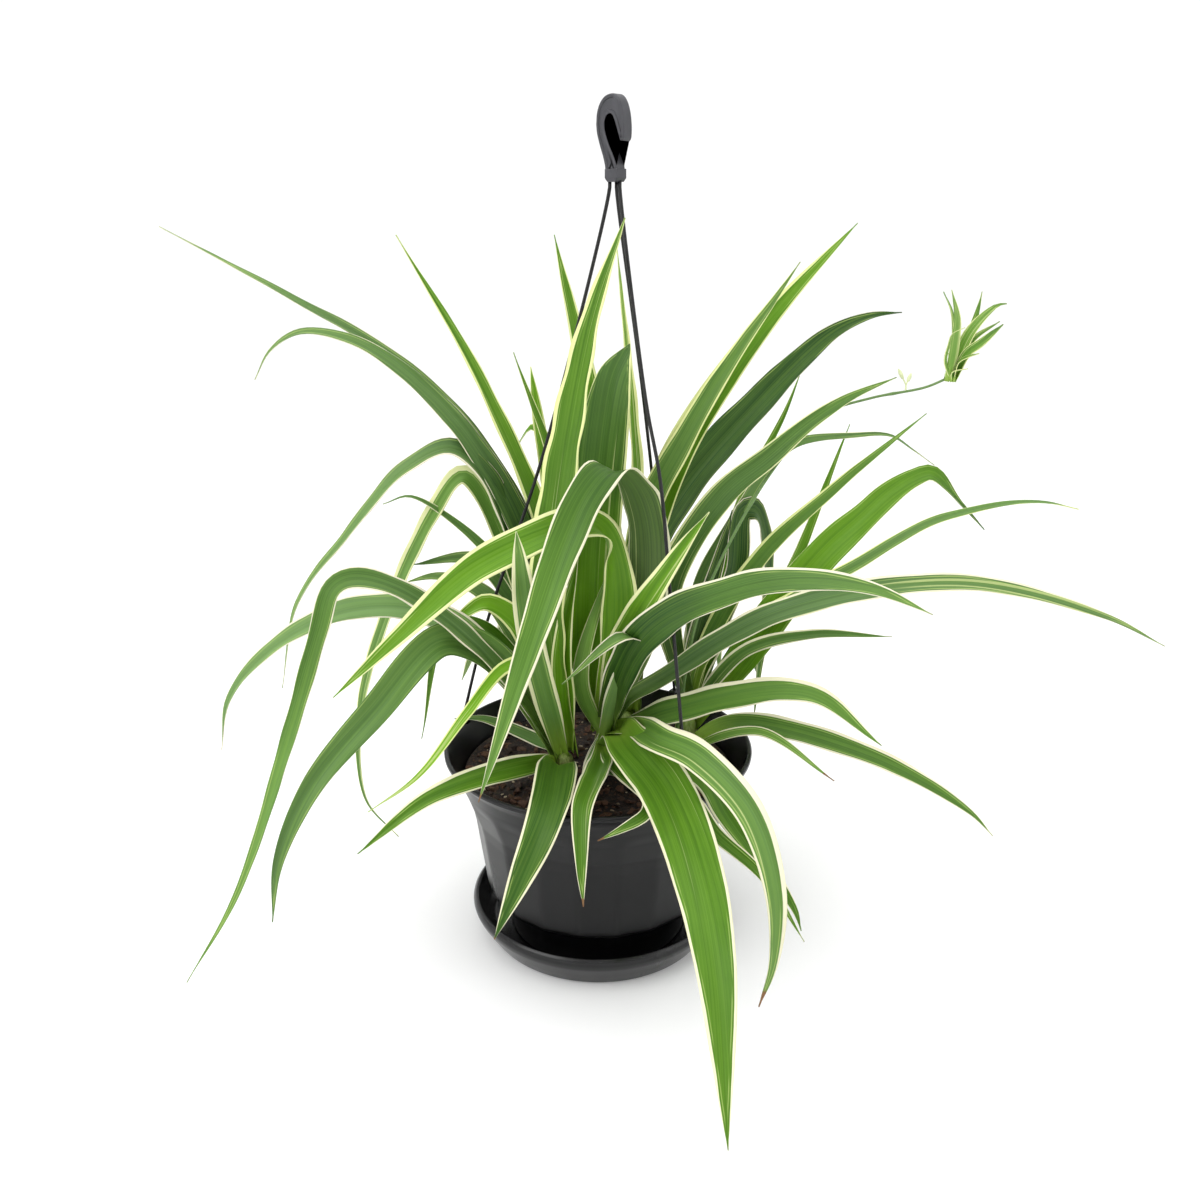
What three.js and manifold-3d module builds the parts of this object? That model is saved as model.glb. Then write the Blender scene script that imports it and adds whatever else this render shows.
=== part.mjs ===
// A spider plant in a black hanging pot: a faceted pot on its drip saucer, potting mix, a hook with
// three strands that grip the rim, and the plant, as six leaf rosettes and one runner with a plantlet.
// Millimetres, +Z up. The origin is at the middle of the saucer's underside. The hook lies in the XZ
// plane, and its mouth opens towards +X.

import * as THREE from 'three';
import { mergeVertices } from 'three/addons/utils/BufferGeometryUtils.js';
import Module from 'manifold-3d';

const wasm = await Module();
wasm.setup();

// ---------------------------------------------------------------------------------------------
// Driving dimensions

const GAP = 0.3; // between pieces that rest on each other
const DEG = Math.PI / 180;

// Round things, turned in steps of half a facet of the pot
const FACETS = 20;
const HALF_FACET = Math.PI / FACETS;
const TURN_STEPS = 2 * FACETS;

// Saucer
const SAUCER_FLOOR_Z = 2.5;
const SAUCER_BASE_R = 72.6;

// Pot: 8 inch hanging size, rim 200 across
const POT_RIM_R = 100;
const POT_RIM_Z = 132;
const POT_SHELF_Z = 32; // where the facets end
const POT_SHELF_TOP_Z = 34.4;
const POT_FOOT_R = 59; // the hidden foot, which stands in the saucer
const POT_FOOT_Z = SAUCER_FLOOR_Z + GAP;
const POT_FLOOR_TOP_Z = 6;
const FACET_TOP_Z = 112; // above it the wall is round
const FACET_FADE = 8;
const DRAIN_R = 2.5;
const DRAIN_RING_R = 38;
const DRAIN_COUNT = 6;

// Potting mix
const MIX_TOP_Z = 115;
const MIX_BUMP = 1.6;
const MIX_RING_R = [72, 48, 24, 0]; // rings of points that make its top uneven
const MIX_HIGH_Z = 85; // above it the facets fade, and the mix keeps further from the wall
const MIX_HIGH_GAP = 0.9;

// Hanger
const HOOK_AT = [7, 7]; // the pot hangs a little off its middle
const HOOK_BASE_Z = 475;
const HOOK_THICK = 7;
const HOOK_BEVEL = 0.9;
const BLOCK_HALF_WIDTH = 4.9;
const BLOCK_HEIGHT = 6.8;
const BLOCK_THICK = 7.8;
const BLOCK_BEVEL = 0.6;
const SOCKET_R = 1.7;
const SOCKET_DEPTH = 1.6;
const STRAND_R = 1.05;
const STRAND_SIDES = 8;
const STRAND_STEPS = 14;
const CLIP_WIDTH = 5;
const CLIP_R = 98.9; // where the strand meets its clip

// Plant. Its points are written as seen from the front of the plant: x to the right, y away from the
// front, z up. The hook faces half a right angle away from that, so they are turned by PLANT_TURN.
const PLANT_TURN = 45 * DEG;
const BLADE_THICK = 0.8;
const BLADE_TIP_HALF = 0.6;
const BLADE_STATION = 34; // length of blade between two sections
const BLADE_SECTIONS = [4, 13];
const BLADE_CHANNEL = 0.28; // how deep the midrib lies, as a share of the half width
const NARROW_BLADE = 13; // up to this width a blade is a flat ribbon
const BLADE_SWELL = 0.36; // share of its length over which a blade widens
const BLADE_TAPER_FROM = 0.3; // share of its length from which it tapers
const ROOT_WIDTH = 0.36; // width of a blade's root, as a share of its greatest width
const ROOT_RING_R = 3; // roots start this far from the middle of the stem
const ROOT_DROP = 4; // and this far under the neck, on a few levels
const ROOT_STAGGER = 2.2;
const ROOT_LEVELS = 5;
const STEM_R = 7.5;
const STEM_NECK_R = 6;
const STEM_SINK = 25; // depth of the stem in the potting mix
const STEM_SIDES = 8;
const STEM_TAPER = 10; // the stem narrows over this height, up to its neck
const STEM_CAP = 3;
const RUNNER_R = 1.1;
const RUNNER_SIDES = 6;
const RUNNER_STEPS = 22;
const POD_R = 1.4;
const POD_LONG = 2.3; // length of a pod, as a multiple of its width
const POD_STALK_R = 0.8;
const POD_STALK_DROP = 4; // a pod's stalk starts this far under its fork
const HEART_R = 3; // the knot from which the plantlet's leaves spring

// ---------------------------------------------------------------------------------------------
// Helpers

function smooth(x) {
  const t = Math.min(Math.max(x, 0), 1);
  return t * t * (3 - 2 * t);
}

function mix(a, b, share) {
  return a + (b - a) * share;
}

// A closed geometry as a solid: only its positions are kept, and shared corners are merged.
function solid(geometry) {
  geometry.deleteAttribute('normal');
  geometry.deleteAttribute('uv');
  const merged = mergeVertices(geometry);
  const corners = merged.index.array;
  const kept = [];
  for (let i = 0; i < corners.length; i += 3) {
    const [a, b, c] = [corners[i], corners[i + 1], corners[i + 2]];
    if (a !== b && b !== c && c !== a) kept.push(a, b, c);
  }
  const vertProperties = new Float32Array(merged.attributes.position.array);
  const triVerts = new Uint32Array(kept);
  return new wasm.Manifold(new wasm.Mesh({ numProp: 3, vertProperties, triVerts }));
}

// Joins solids into one body. A hollow that is closed in by crossing leaves is filled.
function joined(solids) {
  const shells = solids.reduce((sum, next) => sum.add(next)).decompose();
  return shells.reduce((best, next) => (next.volume() > best.volume() ? next : best));
}

function geometryOf(body) {
  const mesh = body.getMesh();
  const geometry = new THREE.BufferGeometry();
  geometry.setAttribute('position', new THREE.BufferAttribute(mesh.vertProperties, 3));
  geometry.setIndex(new THREE.BufferAttribute(mesh.triVerts, 1));
  return geometry;
}

// Turns a profile of [radius, height] points round the Z axis.
function turnedProfile(profile) {
  const points = profile.map(([r, z]) => new THREE.Vector2(r, z));
  return new THREE.LatheGeometry(points, TURN_STEPS).rotateX(Math.PI / 2);
}

// A point of the plant in the frame of the part.
function placed([x, y, z]) {
  return new THREE.Vector3(x, y, z).applyAxisAngle(new THREE.Vector3(0, 0, 1), PLANT_TURN);
}

function postAt([x, y], radius, fromZ, toZ, sides) {
  const post = new THREE.CylinderGeometry(radius, radius, toZ - fromZ, sides);
  return solid(post.rotateX(Math.PI / 2).translate(x, y, (fromZ + toZ) / 2));
}

function tubeAlong(points, radius, sides, steps) {
  const section = new THREE.Shape().absarc(0, 0, radius, 0, 2 * Math.PI, false);
  const path = new THREE.CatmullRomCurve3(points, false, 'centripetal');
  const options = { extrudePath: path, steps, curveSegments: sides / 2, bevelEnabled: false };
  return solid(new THREE.ExtrudeGeometry(section, options));
}

// ---------------------------------------------------------------------------------------------
// Saucer, pot and potting mix

function dripSaucer() {
  return solid(turnedProfile([
    [0, 0], [SAUCER_BASE_R, 0], [74, 1.2], [78.5, 8], [84, 17], [85, 20.5], [84.4, 23],
    [82.5, 24.8], [81, 23.6], [80.6, 19], [76.2, 9.5], [71, 4], [68, SAUCER_FLOOR_Z],
    [0, SAUCER_FLOOR_Z],
  ]));
}

// The wall is round near the rim and flat between the corners of the facets further down. Every
// second step of the turned shape is the middle of a facet, and moves in.
function flattenFacets(geometry) {
  const position = geometry.attributes.position;
  for (let i = 0; i < position.count; i += 1) {
    const x = position.getX(i);
    const y = position.getY(i);
    const z = position.getZ(i);
    const step = Math.round(Math.atan2(y, x) / HALF_FACET);
    const onWall = Math.hypot(x, y) > POT_FOOT_R + 3;
    if (step % 2 !== 0 && onWall) {
      const share = smooth((FACET_TOP_Z - z) / FACET_FADE);
      const inward = 1 - share * (1 - Math.cos(HALF_FACET));
      position.setXY(i, x * inward, y * inward);
    }
  }
  return geometry;
}

// Outside of the wall from the shelf to the rolled rim
const POT_OUTSIDE = [
  [72.4, POT_SHELF_Z], [74.6, 34.5], [81, 82], [82.6, 90], [87.6, 104], [90.3, 114], [93, 122],
  [96.8, 127.4], [99.8, 128.8], [POT_RIM_R, 131.2], [99.2, POT_RIM_Z],
];

// Inside of the wall from the floor up to the top of the mix, and from there to the rim
const POT_INSIDE = [
  [57.2, POT_FLOOR_TOP_Z], [58.4, POT_SHELF_TOP_Z], [72, POT_SHELF_TOP_Z], [79.1, 82], [80.7, 90],
  [88.4, 114],
];
const POT_INSIDE_RIM = [[94.9, 127.4], [97.5, POT_RIM_Z]];

function pot() {
  const foot = [[0, 4], [56.4, 4], [56.8, POT_FOOT_Z], [POT_FOOT_R, POT_FOOT_Z], [60.6, POT_SHELF_Z]];
  const inside = [...POT_INSIDE, ...POT_INSIDE_RIM].reverse();
  const profile = [...foot, ...POT_OUTSIDE, ...inside, [0, POT_FLOOR_TOP_Z]];
  let body = solid(flattenFacets(turnedProfile(profile)));
  for (let i = 0; i < DRAIN_COUNT; i += 1) {
    const bearing = (i * 2 * Math.PI) / DRAIN_COUNT;
    const at = [DRAIN_RING_R * Math.cos(bearing), DRAIN_RING_R * Math.sin(bearing)];
    body = body.subtract(postAt(at, DRAIN_R, 0, POT_FLOOR_TOP_Z + 2, STEM_SIDES));
  }
  return body;
}

// The top of the mix is uneven, by a formula that dies out at the wall.
function roughenTop(geometry) {
  const position = geometry.attributes.position;
  for (let i = 0; i < position.count; i += 1) {
    const x = position.getX(i);
    const y = position.getY(i);
    const inside = Math.hypot(x, y) < MIX_RING_R[0] + 1;
    if (position.getZ(i) === MIX_TOP_Z && inside) {
      const bump = Math.sin(x / 7 + 1.3) * Math.cos(y / 9 - 0.4) + Math.sin((x + y) / 13);
      position.setZ(i, MIX_TOP_Z + MIX_BUMP * bump);
    }
  }
  return geometry;
}

function pottingMix(stems) {
  const side = POT_INSIDE.map(([r, z]) => [
    r - (z < MIX_HIGH_Z ? GAP : MIX_HIGH_GAP),
    z > POT_SHELF_TOP_Z ? z : z + GAP,
  ]);
  const top = MIX_RING_R.map((r) => [r, MIX_TOP_Z]);
  const profile = [[0, POT_FLOOR_TOP_Z + GAP], ...side, ...top];
  let body = solid(roughenTop(flattenFacets(turnedProfile(profile))));
  for (const { at, radius } of stems) {
    const hole = radius + GAP + 0.1;
    body = body.subtract(postAt(at, hole, MIX_TOP_Z - STEM_SINK - GAP, MIX_TOP_Z + 20, STEM_SIDES));
  }
  return body;
}

// ---------------------------------------------------------------------------------------------
// Hanger

// Sockets in the underside of the hook's block, from its middle
const SOCKETS = { left: [-3, -1.5], front: [2.8, 0.6], back: [-1, 1.9] };

// Where each strand goes: points on the way down, and the bearing of its clip on the rim
const STRANDS = {
  left: { bearing: 159, through: [[-33, 14, 321], [-74, 29, 202]] },
  front: { bearing: 302, through: [[27, -32, 359], [35, -47, 317], [41, -61, 255]] },
  back: { bearing: 56, through: [[29, 44, 347]] },
};

function uprightExtrusion(shape, thick, bevel) {
  const options = {
    depth: thick - 2 * bevel,
    bevelThickness: bevel,
    bevelSize: bevel,
    bevelOffset: -bevel,
    bevelSegments: 1,
    curveSegments: 1,
  };
  const geometry = new THREE.ExtrudeGeometry(shape, options);
  return solid(geometry.translate(0, 0, -options.depth / 2).rotateX(Math.PI / 2));
}

function points2(list) {
  return list.map(([x, z]) => new THREE.Vector2(x, z));
}

function hangerHook() {
  const claw = new THREE.Shape();
  claw.moveTo(-4.9, 3.5);
  claw.lineTo(4.4, 3.5);
  claw.splineThru(points2([
    [4.1, 7.7], [2.7, 10.8], [0.6, 14.7], [-1.8, 18.6], [-4.1, 23.3], [-5.6, 28], [-5.6, 31.5],
    [-4, 34.2], [-1.6, 35], [0.4, 34.1], [1.8, 32], [3.4, 28.4], [5.6, 23.2],
  ]));
  claw.splineThru(points2([
    [6.3, 21.3], [7.6, 20.7], [8.8, 21.7], [9.4, 25.6], [9.1, 31.1], [8, 36.5], [5.8, 41.4],
    [2.7, 44.4], [-0.6, 45], [-5.3, 44], [-8.8, 41.3], [-11.4, 36.4], [-12.2, 30],
  ]));
  claw.splineThru(points2([[-11.5, 25.3], [-9.1, 18.6], [-6.8, 13.2], [-5.2, 8], [-4.9, 3.5]]));
  const block = new THREE.Shape(points2([
    [-BLOCK_HALF_WIDTH, 2], [-3, 0], [3, 0], [BLOCK_HALF_WIDTH, 2],
    [BLOCK_HALF_WIDTH, BLOCK_HEIGHT], [-BLOCK_HALF_WIDTH, BLOCK_HEIGHT],
  ]));
  let body = uprightExtrusion(claw, HOOK_THICK, HOOK_BEVEL);
  body = body.add(uprightExtrusion(block, BLOCK_THICK, BLOCK_BEVEL));
  for (const at of Object.values(SOCKETS)) {
    body = body.subtract(postAt(at, SOCKET_R, -1, SOCKET_DEPTH, STRAND_SIDES));
  }
  return body.translate([HOOK_AT[0], HOOK_AT[1], HOOK_BASE_Z]);
}

// A small moulded hook that grips the rolled rim, drawn in the plane of radius and height.
function rimClip(bearing) {
  const clip = new THREE.Shape(points2([
    [94.2, 130], [95.3, 129.6], [96.1, 132 + GAP], [100.3, 132 + GAP], [100.5, 127.4],
    [99.2, 126.9], [99.6, 125.4], [102.2, 126], [102.2, 133.2], [101, 134.4], [95.4, 134.4],
    [94.2, 133.2],
  ]));
  const options = { depth: CLIP_WIDTH, bevelEnabled: false };
  const geometry = new THREE.ExtrudeGeometry(clip, options).translate(0, 0, -CLIP_WIDTH / 2);
  return solid(geometry.rotateX(Math.PI / 2).rotateZ(bearing));
}

function hangerStrand(name) {
  const { bearing, through } = STRANDS[name];
  const [sx, sy] = SOCKETS[name];
  const top = [HOOK_AT[0] + sx, HOOK_AT[1] + sy];
  const clipBearing = bearing * DEG + PLANT_TURN;
  const foot = [CLIP_R * Math.cos(clipBearing), CLIP_R * Math.sin(clipBearing), POT_RIM_Z + 1.4];
  const path = [
    new THREE.Vector3(...top, HOOK_BASE_Z + SOCKET_DEPTH - GAP),
    new THREE.Vector3(...top, HOOK_BASE_Z - 3),
    ...through.map(placed),
    new THREE.Vector3(...foot),
  ];
  return tubeAlong(path, STRAND_R, STRAND_SIDES, STRAND_STEPS).add(rimClip(clipBearing));
}

// ---------------------------------------------------------------------------------------------
// Plant

// Where each rosette's neck is: the leaves spring from it, and its stem goes down into the mix.
const CROWNS = {
  front: [4, 12, 142],
  left: [-22, -5, 132],
  right: [60, 35, 142],
  edge: [60, 2, 128],
  back: [20, 58, 132],
  backleft: [-38, 45, 132],
};

// Each leaf: its greatest width, how far the blade rolls about its own length (degrees, evenly
// along it), how suddenly it tapers to its tip, and the points that its midrib passes through,
// measured from the neck.
const LEAVES = {
  front: [
    { name: 'big_arch', width: 27, roll: [20, -32], taper: 2.2,
      through: [[20, 5, 40], [26, -10, 130], [5, -45, 180], [-15, -60, 170], [-40, -95, 110],
        [-70, -125, 5]] },
    { name: 'bright_left', width: 26, roll: [-105, -100, -30, -50, -60], taper: 2.2,
      through: [[9, -15, 82], [4, -28, 133], [-11, -48, 148], [-70, -77, 130], [-113, -98, 96],
        [-148, -115, 66]] },
    { name: 'blunt_tall', width: 32, roll: [25, 20], taper: 4.5,
      through: [[-8, 0, 50], [5, 20, 218], [16, 40, 240]] },
    { name: 'small_back_left', width: 13, roll: [20, -30], taper: 1.8,
      through: [[10, -40, 45], [20, -65, 80], [10, -70, 85], [-25, -70, 55]] },
    { name: 'young_a', width: 11, roll: [-20, -20], taper: 1.8,
      through: [[-15, -15, 35], [5, -15, 115]] },
    { name: 'bright_right', width: 20, roll: [120, 110], taper: 2.2,
      through: [[7, -32, 52], [16, -59, 88], [29, -80, 119], [43, -90, 145], [55, -100, 166]] },
    { name: 'broad_right', width: 23, roll: [110, 90, 50, 35], taper: 2.4,
      through: [[2, -19, 12], [14, -64, 71], [29, -85, 98], [52, -105, 119], [81, -125, 135],
        [109, -140, 141], [136, -153, 139], [159, -162, 130]] },
    { name: 'long_right', width: 16, roll: [45, 50], taper: 1.9,
      through: [[15, -10, 20], [35, -10, 33], [105, -30, 86], [210, -45, 110], [295, -55, 92],
        [330, -60, 75]] },
    { name: 'low_right', width: 20, roll: [45, 48], taper: 2.2,
      through: [[40, -30, 20], [120, -70, 50], [160, -90, 25]] },
    { name: 'big_front', width: 31, roll: [30, 14], taper: 2.4,
      through: [[8, -30, 9], [14, -56, 12], [33, -104, 8], [46, -177, 0], [52, -227, -23],
        [55, -275, -86]] },
    { name: 'front_right', width: 21, roll: [50, 20], taper: 2.4,
      through: [[17, -30, 10], [31, -92, 31], [51, -124, 35], [76, -152, 17], [88, -174, -17],
        [88, -182, -54], [81, -184, -81]] },
    { name: 'low_front_a', width: 20, roll: [35, 25], taper: 2.0,
      through: [[60, -90, 5], [70, -115, -5], [105, -140, -50], [110, -140, -65]] },
    { name: 'low_front_b', width: 12, roll: [35, 22], taper: 1.9,
      through: [[25, -35, -15], [35, -95, 5], [50, -120, 10], [60, -135, -5], [85, -145, -25],
        [110, -150, -65]] },
    { name: 'front_small', width: 16, roll: [0, 0], taper: 2.2,
      through: [[-2, -40, -8], [-8, -85, -1], [-13, -114, -3], [-13, -134, -30],
        [-12, -136, -52]] },
    { name: 'front_left_tip', width: 16, roll: [30, 0], taper: 2.0,
      through: [[5, -37, -5], [21, -82, 2], [29, -102, 3], [23, -116, -1], [10, -120, -11],
        [-4, -122, -19]] },
    { name: 'soil_a', width: 9, roll: [0, 40], taper: 2.0,
      through: [[-10, -25, -25], [0, -30, -15], [20, -40, -15]] },
    { name: 'soil_b', width: 9, roll: [0, 40], taper: 2.0,
      through: [[-10, -35, -25], [5, -45, -15], [20, -55, -20]] },
  ],
  left: [
    { name: 'kinked_long', width: 16, roll: [-45, -40, -50, -60], taper: 1.2,
      through: [[-47, -23, 74], [-94, -37, 119], [-120, -42, 127], [-131, -46, 122],
        [-139, -53, 98], [-158, -67, 38], [-191, -89, -54], [-223, -99, -108]] },
    { name: 'low_arch_left', width: 20, roll: [-50, -50], taper: 1.5,
      through: [[-41, 5, 54], [-83, 1, 91], [-132, -3, 95], [-179, -7, 73], [-211, -9, 38],
        [-219, -11, 2]] },
    { name: 'broad_droop', width: 21, roll: [-80, -55], taper: 2.0,
      through: [[-24, -9, 43], [-53, -19, 77], [-73, -31, 84], [-109, -57, 50], [-143, -81, 13],
        [-163, -93, -30], [-168, -99, -66]] },
    { name: 'thin_yellow', width: 9, roll: [-85, -50], taper: 1.6,
      through: [[-11, -17, 46], [-20, -31, 70], [-34, -43, 71], [-56, -57, 47], [-84, -69, 13],
        [-113, -75, -7]] },
    { name: 'over_rim_left', width: 15, roll: [-50, -40], taper: 1.9,
      through: [[-12, -18, -3], [-75, -80, 6], [-115, -100, -20]] },
    { name: 'low_inside_left', width: 10, roll: [-30, -40], taper: 1.7,
      through: [[-15, 15, -5], [-55, 30, 5], [-75, 30, 5]] },
    { name: 'tall_centre', width: 29, roll: [75, 70], taper: 2.4,
      through: [[-10, -5, 90], [15, -15, 260], [37, -15, 324]] },
    { name: 'blunt_short', width: 16, roll: [-120, -120], taper: 3.5,
      through: [[-17, -43, 88], [-22, -74, 163]] },
    { name: 'small_arch_left', width: 13, roll: [-75, -75], taper: 2.0,
      through: [[-12, 11, 34], [-28, 15, 78], [-49, 15, 93], [-62, 13, 87], [-76, 11, 74]] },
    { name: 'front_droop', width: 25, roll: [-5, -8], taper: 2.2,
      through: [[-2, -30, 5], [-8, -104, 4], [-36, -124, -60]] },
    { name: 'inner_a', width: 16, roll: [110, 110], taper: 1.8,
      through: [[0, -10, 75], [10, -10, 130]] },
  ],
  right: [
    { name: 'mid_right', width: 20, roll: [55, 50], taper: 2.1,
      through: [[-14, 3, 82], [20, 13, 143], [50, 19, 167], [76, 22, 189], [101, 25, 205],
        [132, 27, 218]] },
    { name: 'twisted', width: 11, roll: [60, 60, 85, 60, 40], taper: 1.3,
      through: [[10, 35, 72], [34, 45, 119], [58, 55, 156], [76, 59, 170], [115, 65, 174],
        [141, 65, 174], [156, 63, 165], [172, 60, 154]] },
    { name: 'slim_right', width: 13, roll: [52, 48], taper: 1.6,
      through: [[13, 15, 37], [49, 25, 98], [99, 33, 145], [157, 39, 193]] },
    { name: 'thin_right_up', width: 10, roll: [55, 55], taper: 1.8,
      through: [[40, 45, 25], [70, 55, 65], [115, 75, 180]] },
    { name: 'broad_kink', width: 24, roll: [60, 65, 65, 50, 20], taper: 2.2,
      through: [[35, -5, 36], [62, -8, 79], [88, -11, 115], [106, -11, 133], [124, -11, 151],
        [139, -11, 161], [149, -12, 164], [168, -16, 145], [183, -19, 129]] },
    { name: 'outer_right', width: 10, roll: [48, 48], taper: 1.7,
      through: [[14, -7, 43], [64, -17, 82], [104, -27, 110], [139, -35, 136], [159, -40, 145],
        [188, -43, 152], [208, -45, 153], [228, -47, 149]] },
    { name: 'low_cream', width: 10, roll: [60, 50], taper: 2.0,
      through: [[10, -15, 15], [35, -25, 50], [75, -35, 65], [125, -40, 65]] },
    { name: 'narrow_up', width: 11, roll: [50, 50], taper: 1.8,
      through: [[25, 75, 50], [45, 90, 125], [75, 105, 185], [85, 105, 215]] },
    { name: 'folded_back', width: 17, roll: [50, 100], taper: 2.4,
      through: [[20, 25, 40], [35, 35, 85], [40, 45, 125], [50, 50, 125], [60, 55, 90], [55, 55, -35]] },
    { name: 'dark_inner', width: 15, roll: [55, 55], taper: 2.2,
      through: [[5, 15, 25], [30, 30, 130]] },
  ],
  edge: [
    { name: 'over_rim_right', width: 15, roll: [45, 42], taper: 2.1,
      through: [[5, 0, 5], [30, 5, 15], [115, -25, 5], [170, -50, -20], [185, -55, -35]] },
    { name: 'thin_over_rim', width: 7, roll: [45, 45], taper: 1.8,
      through: [[10, -5, 5], [45, -10, 15], [90, -30, -10]] },
  ],
  back: [
    { name: 'bright_tall_a', width: 20, roll: [55, 60], taper: 2.2,
      through: [[8, -18, 109], [30, -11, 179], [66, 0, 236], [99, 11, 276], [144, 22, 322]] },
    { name: 'bright_tall_b', width: 20, roll: [58, 62], taper: 1.8,
      through: [[5, -20, 113], [14, -20, 152], [32, -16, 187], [52, -11, 222], [72, -6, 252],
        [91, -1, 278], [106, 4, 299]] },
    { name: 'dark_tall', width: 27, roll: [48, 45], taper: 2.4,
      through: [[9, 22, 94], [37, 38, 146], [87, 52, 202], [139, 63, 250], [166, 68, 262],
        [190, 72, 264]] },
    { name: 'narrow_tall', width: 16, roll: [15, 15], taper: 1.8,
      through: [[10, 0, 80], [5, 10, 185], [-8, 10, 306]] },
    { name: 'far_upright', width: 19, roll: [-45, -45], taper: 2.4,
      through: [[-20, 20, 185], [-48, 30, 315]] },
  ],
  backleft: [
    { name: 'far_left_long', width: 18, roll: [-50, -35], taper: 0.9,
      through: [[-8, 5, 120], [-50, 17, 198], [-101, 29, 244], [-161, 39, 277], [-244, 47, 320]] },
    { name: 'left_curl', width: 21, roll: [-50, -60], taper: 1.1,
      through: [[-8, 0, 118], [-43, -3, 191], [-85, -7, 237], [-115, -10, 255], [-144, -11, 259],
        [-163, -11, 248], [-174, -11, 230]] },
    { name: 'thin_upright', width: 16, roll: [-55, -50], taper: 1.5,
      through: [[7, 0, 110], [-33, -5, 225], [-83, -5, 315]] },
    { name: 'arch_left', width: 20, roll: [-42, -35], taper: 0.9,
      through: [[-7, -3, 84], [-31, -5, 166], [-54, -9, 188], [-84, -13, 176], [-124, -17, 132],
        [-158, -19, 88], [-174, -17, 26]] },
    { name: 'hanging_curl', width: 14, roll: [-50, -70], taper: 1.6,
      through: [[-10, 5, 75], [-50, 15, 165], [-75, 15, 135], [-131, 25, 0], [-131, 15, -75],
        [-107, 5, -100]] },
    { name: 'thin_left', width: 11, roll: [-40, -40], taper: 1.5,
      through: [[-15, 10, 85], [-85, 15, 150], [-105, 15, 145]] },
    { name: 'low_left_a', width: 18, roll: [-65, -60], taper: 1.8,
      through: [[-15, 15, 70], [-45, 20, 105], [-90, 25, 100]] },
    { name: 'low_left_b', width: 16, roll: [-65, -60], taper: 1.8,
      through: [[-15, 5, 50], [-40, 10, 85], [-70, 15, 95], [-95, 15, 90]] },
    { name: 'drooping_thin', width: 9, roll: [-60, -60], taper: 1.5,
      through: [[-15, -15, 45], [-40, -25, 75], [-60, -25, 75], [-80, -30, -5]] },
    { name: 'young_tip_a', width: 13, roll: [-45, -45], taper: 1.6,
      through: [[5, 5, 110], [10, 5, 165], [-15, 5, 245]] },
    { name: 'young_blunt', width: 11, roll: [10, 10], taper: 5.0,
      through: [[10, 15, 100], [-5, 15, 235]] },
    { name: 'young_hook', width: 11, roll: [-35, -60], taper: 1.8,
      through: [[10, 15, 105], [5, 20, 185], [-5, 25, 195], [-20, 25, 175]] },
  ],
};

// Leaves that arch down behind the plant, placed by rule: bearings from one side to the other, with
// reach and rise that vary from leaf to leaf.
const REAR_LEAVES = {
  back: { count: 3, bearings: [78, 100], reach: 165, rise: 52, width: 19 },
  backleft: { count: 2, bearings: [108, 124], reach: 130, rise: 40, width: 16 },
  right: { count: 2, bearings: [74, 56], reach: 120, rise: 45, width: 17 },
};

function rearLeaves(crown) {
  const rule = REAR_LEAVES[crown];
  const leaves = [];
  for (let i = 0; rule && i < rule.count; i += 1) {
    const share = i / (rule.count - 1);
    const bearing = mix(rule.bearings[0], rule.bearings[1], share) * DEG;
    const reach = rule.reach * (1 + 0.16 * Math.sin(5 * i + 1));
    const rise = rule.rise * (1 + 0.3 * Math.cos(4 * i));
    const stations = [[0.16, 0.62], [0.5, 1], [0.8, 0.45], [1, -0.55]];
    leaves.push({
      name: `rear_${i + 1}`,
      width: rule.width,
      roll: [0, 12 * Math.sin(3 * i)],
      taper: 2,
      through: stations.map(([out, up]) => [
        reach * out * Math.cos(bearing), reach * out * Math.sin(bearing), rise * up,
      ]),
    });
  }
  return leaves;
}

// Half the width of a blade at a share of its length: narrow at the root, widest at a third.
function halfWidth(leaf, share) {
  const swell = ROOT_WIDTH + (1 - ROOT_WIDTH) * smooth(share / BLADE_SWELL);
  const tapered = Math.max(0, (share - BLADE_TAPER_FROM) / (1 - BLADE_TAPER_FROM));
  const fall = 1 - tapered ** leaf.taper;
  return Math.max((leaf.width / 2) * swell * fall, BLADE_TIP_HALF);
}

function rollAt(leaf, share) {
  const last = leaf.roll.length - 1;
  const step = Math.min(Math.floor(share * last), last - 1);
  return mix(leaf.roll[step], leaf.roll[step + 1], smooth(share * last - step)) * DEG;
}

// The sections of a blade: middle, direction across and direction out of the upper face.
function bladeSections(neck, leaf, order) {
  const [tipX, tipY] = leaf.through[leaf.through.length - 1];
  const ring = ROOT_RING_R / Math.hypot(tipX, tipY);
  const drop = ROOT_DROP + ROOT_STAGGER * (order % ROOT_LEVELS);
  const stations = [[tipX * ring, tipY * ring, -drop], ...leaf.through];
  const midrib = stations.map((p) => placed(p.map((v, k) => v + neck[k])));
  const curve = new THREE.CatmullRomCurve3(midrib, false, 'centripetal');
  const wanted = Math.round(curve.getLength() / BLADE_STATION);
  const count = Math.min(Math.max(wanted, BLADE_SECTIONS[0]), BLADE_SECTIONS[1]);
  const middles = curve.getSpacedPoints(count);
  const heading = midrib[midrib.length - 1].clone().sub(midrib[0]);
  const level = new THREE.Vector3(-heading.y, heading.x, 0).normalize();
  return middles.map((middle, i) => {
    const after = middles[Math.min(i + 1, count)];
    const before = middles[Math.max(i - 1, 0)];
    const along = after.clone().sub(before).normalize();
    const flat = level.clone().addScaledVector(along, -level.dot(along)).normalize();
    const across = flat.applyAxisAngle(along, rollAt(leaf, i / count));
    const out = along.clone().cross(across);
    return { middle, across, out, half: halfWidth(leaf, i / count) };
  });
}

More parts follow.
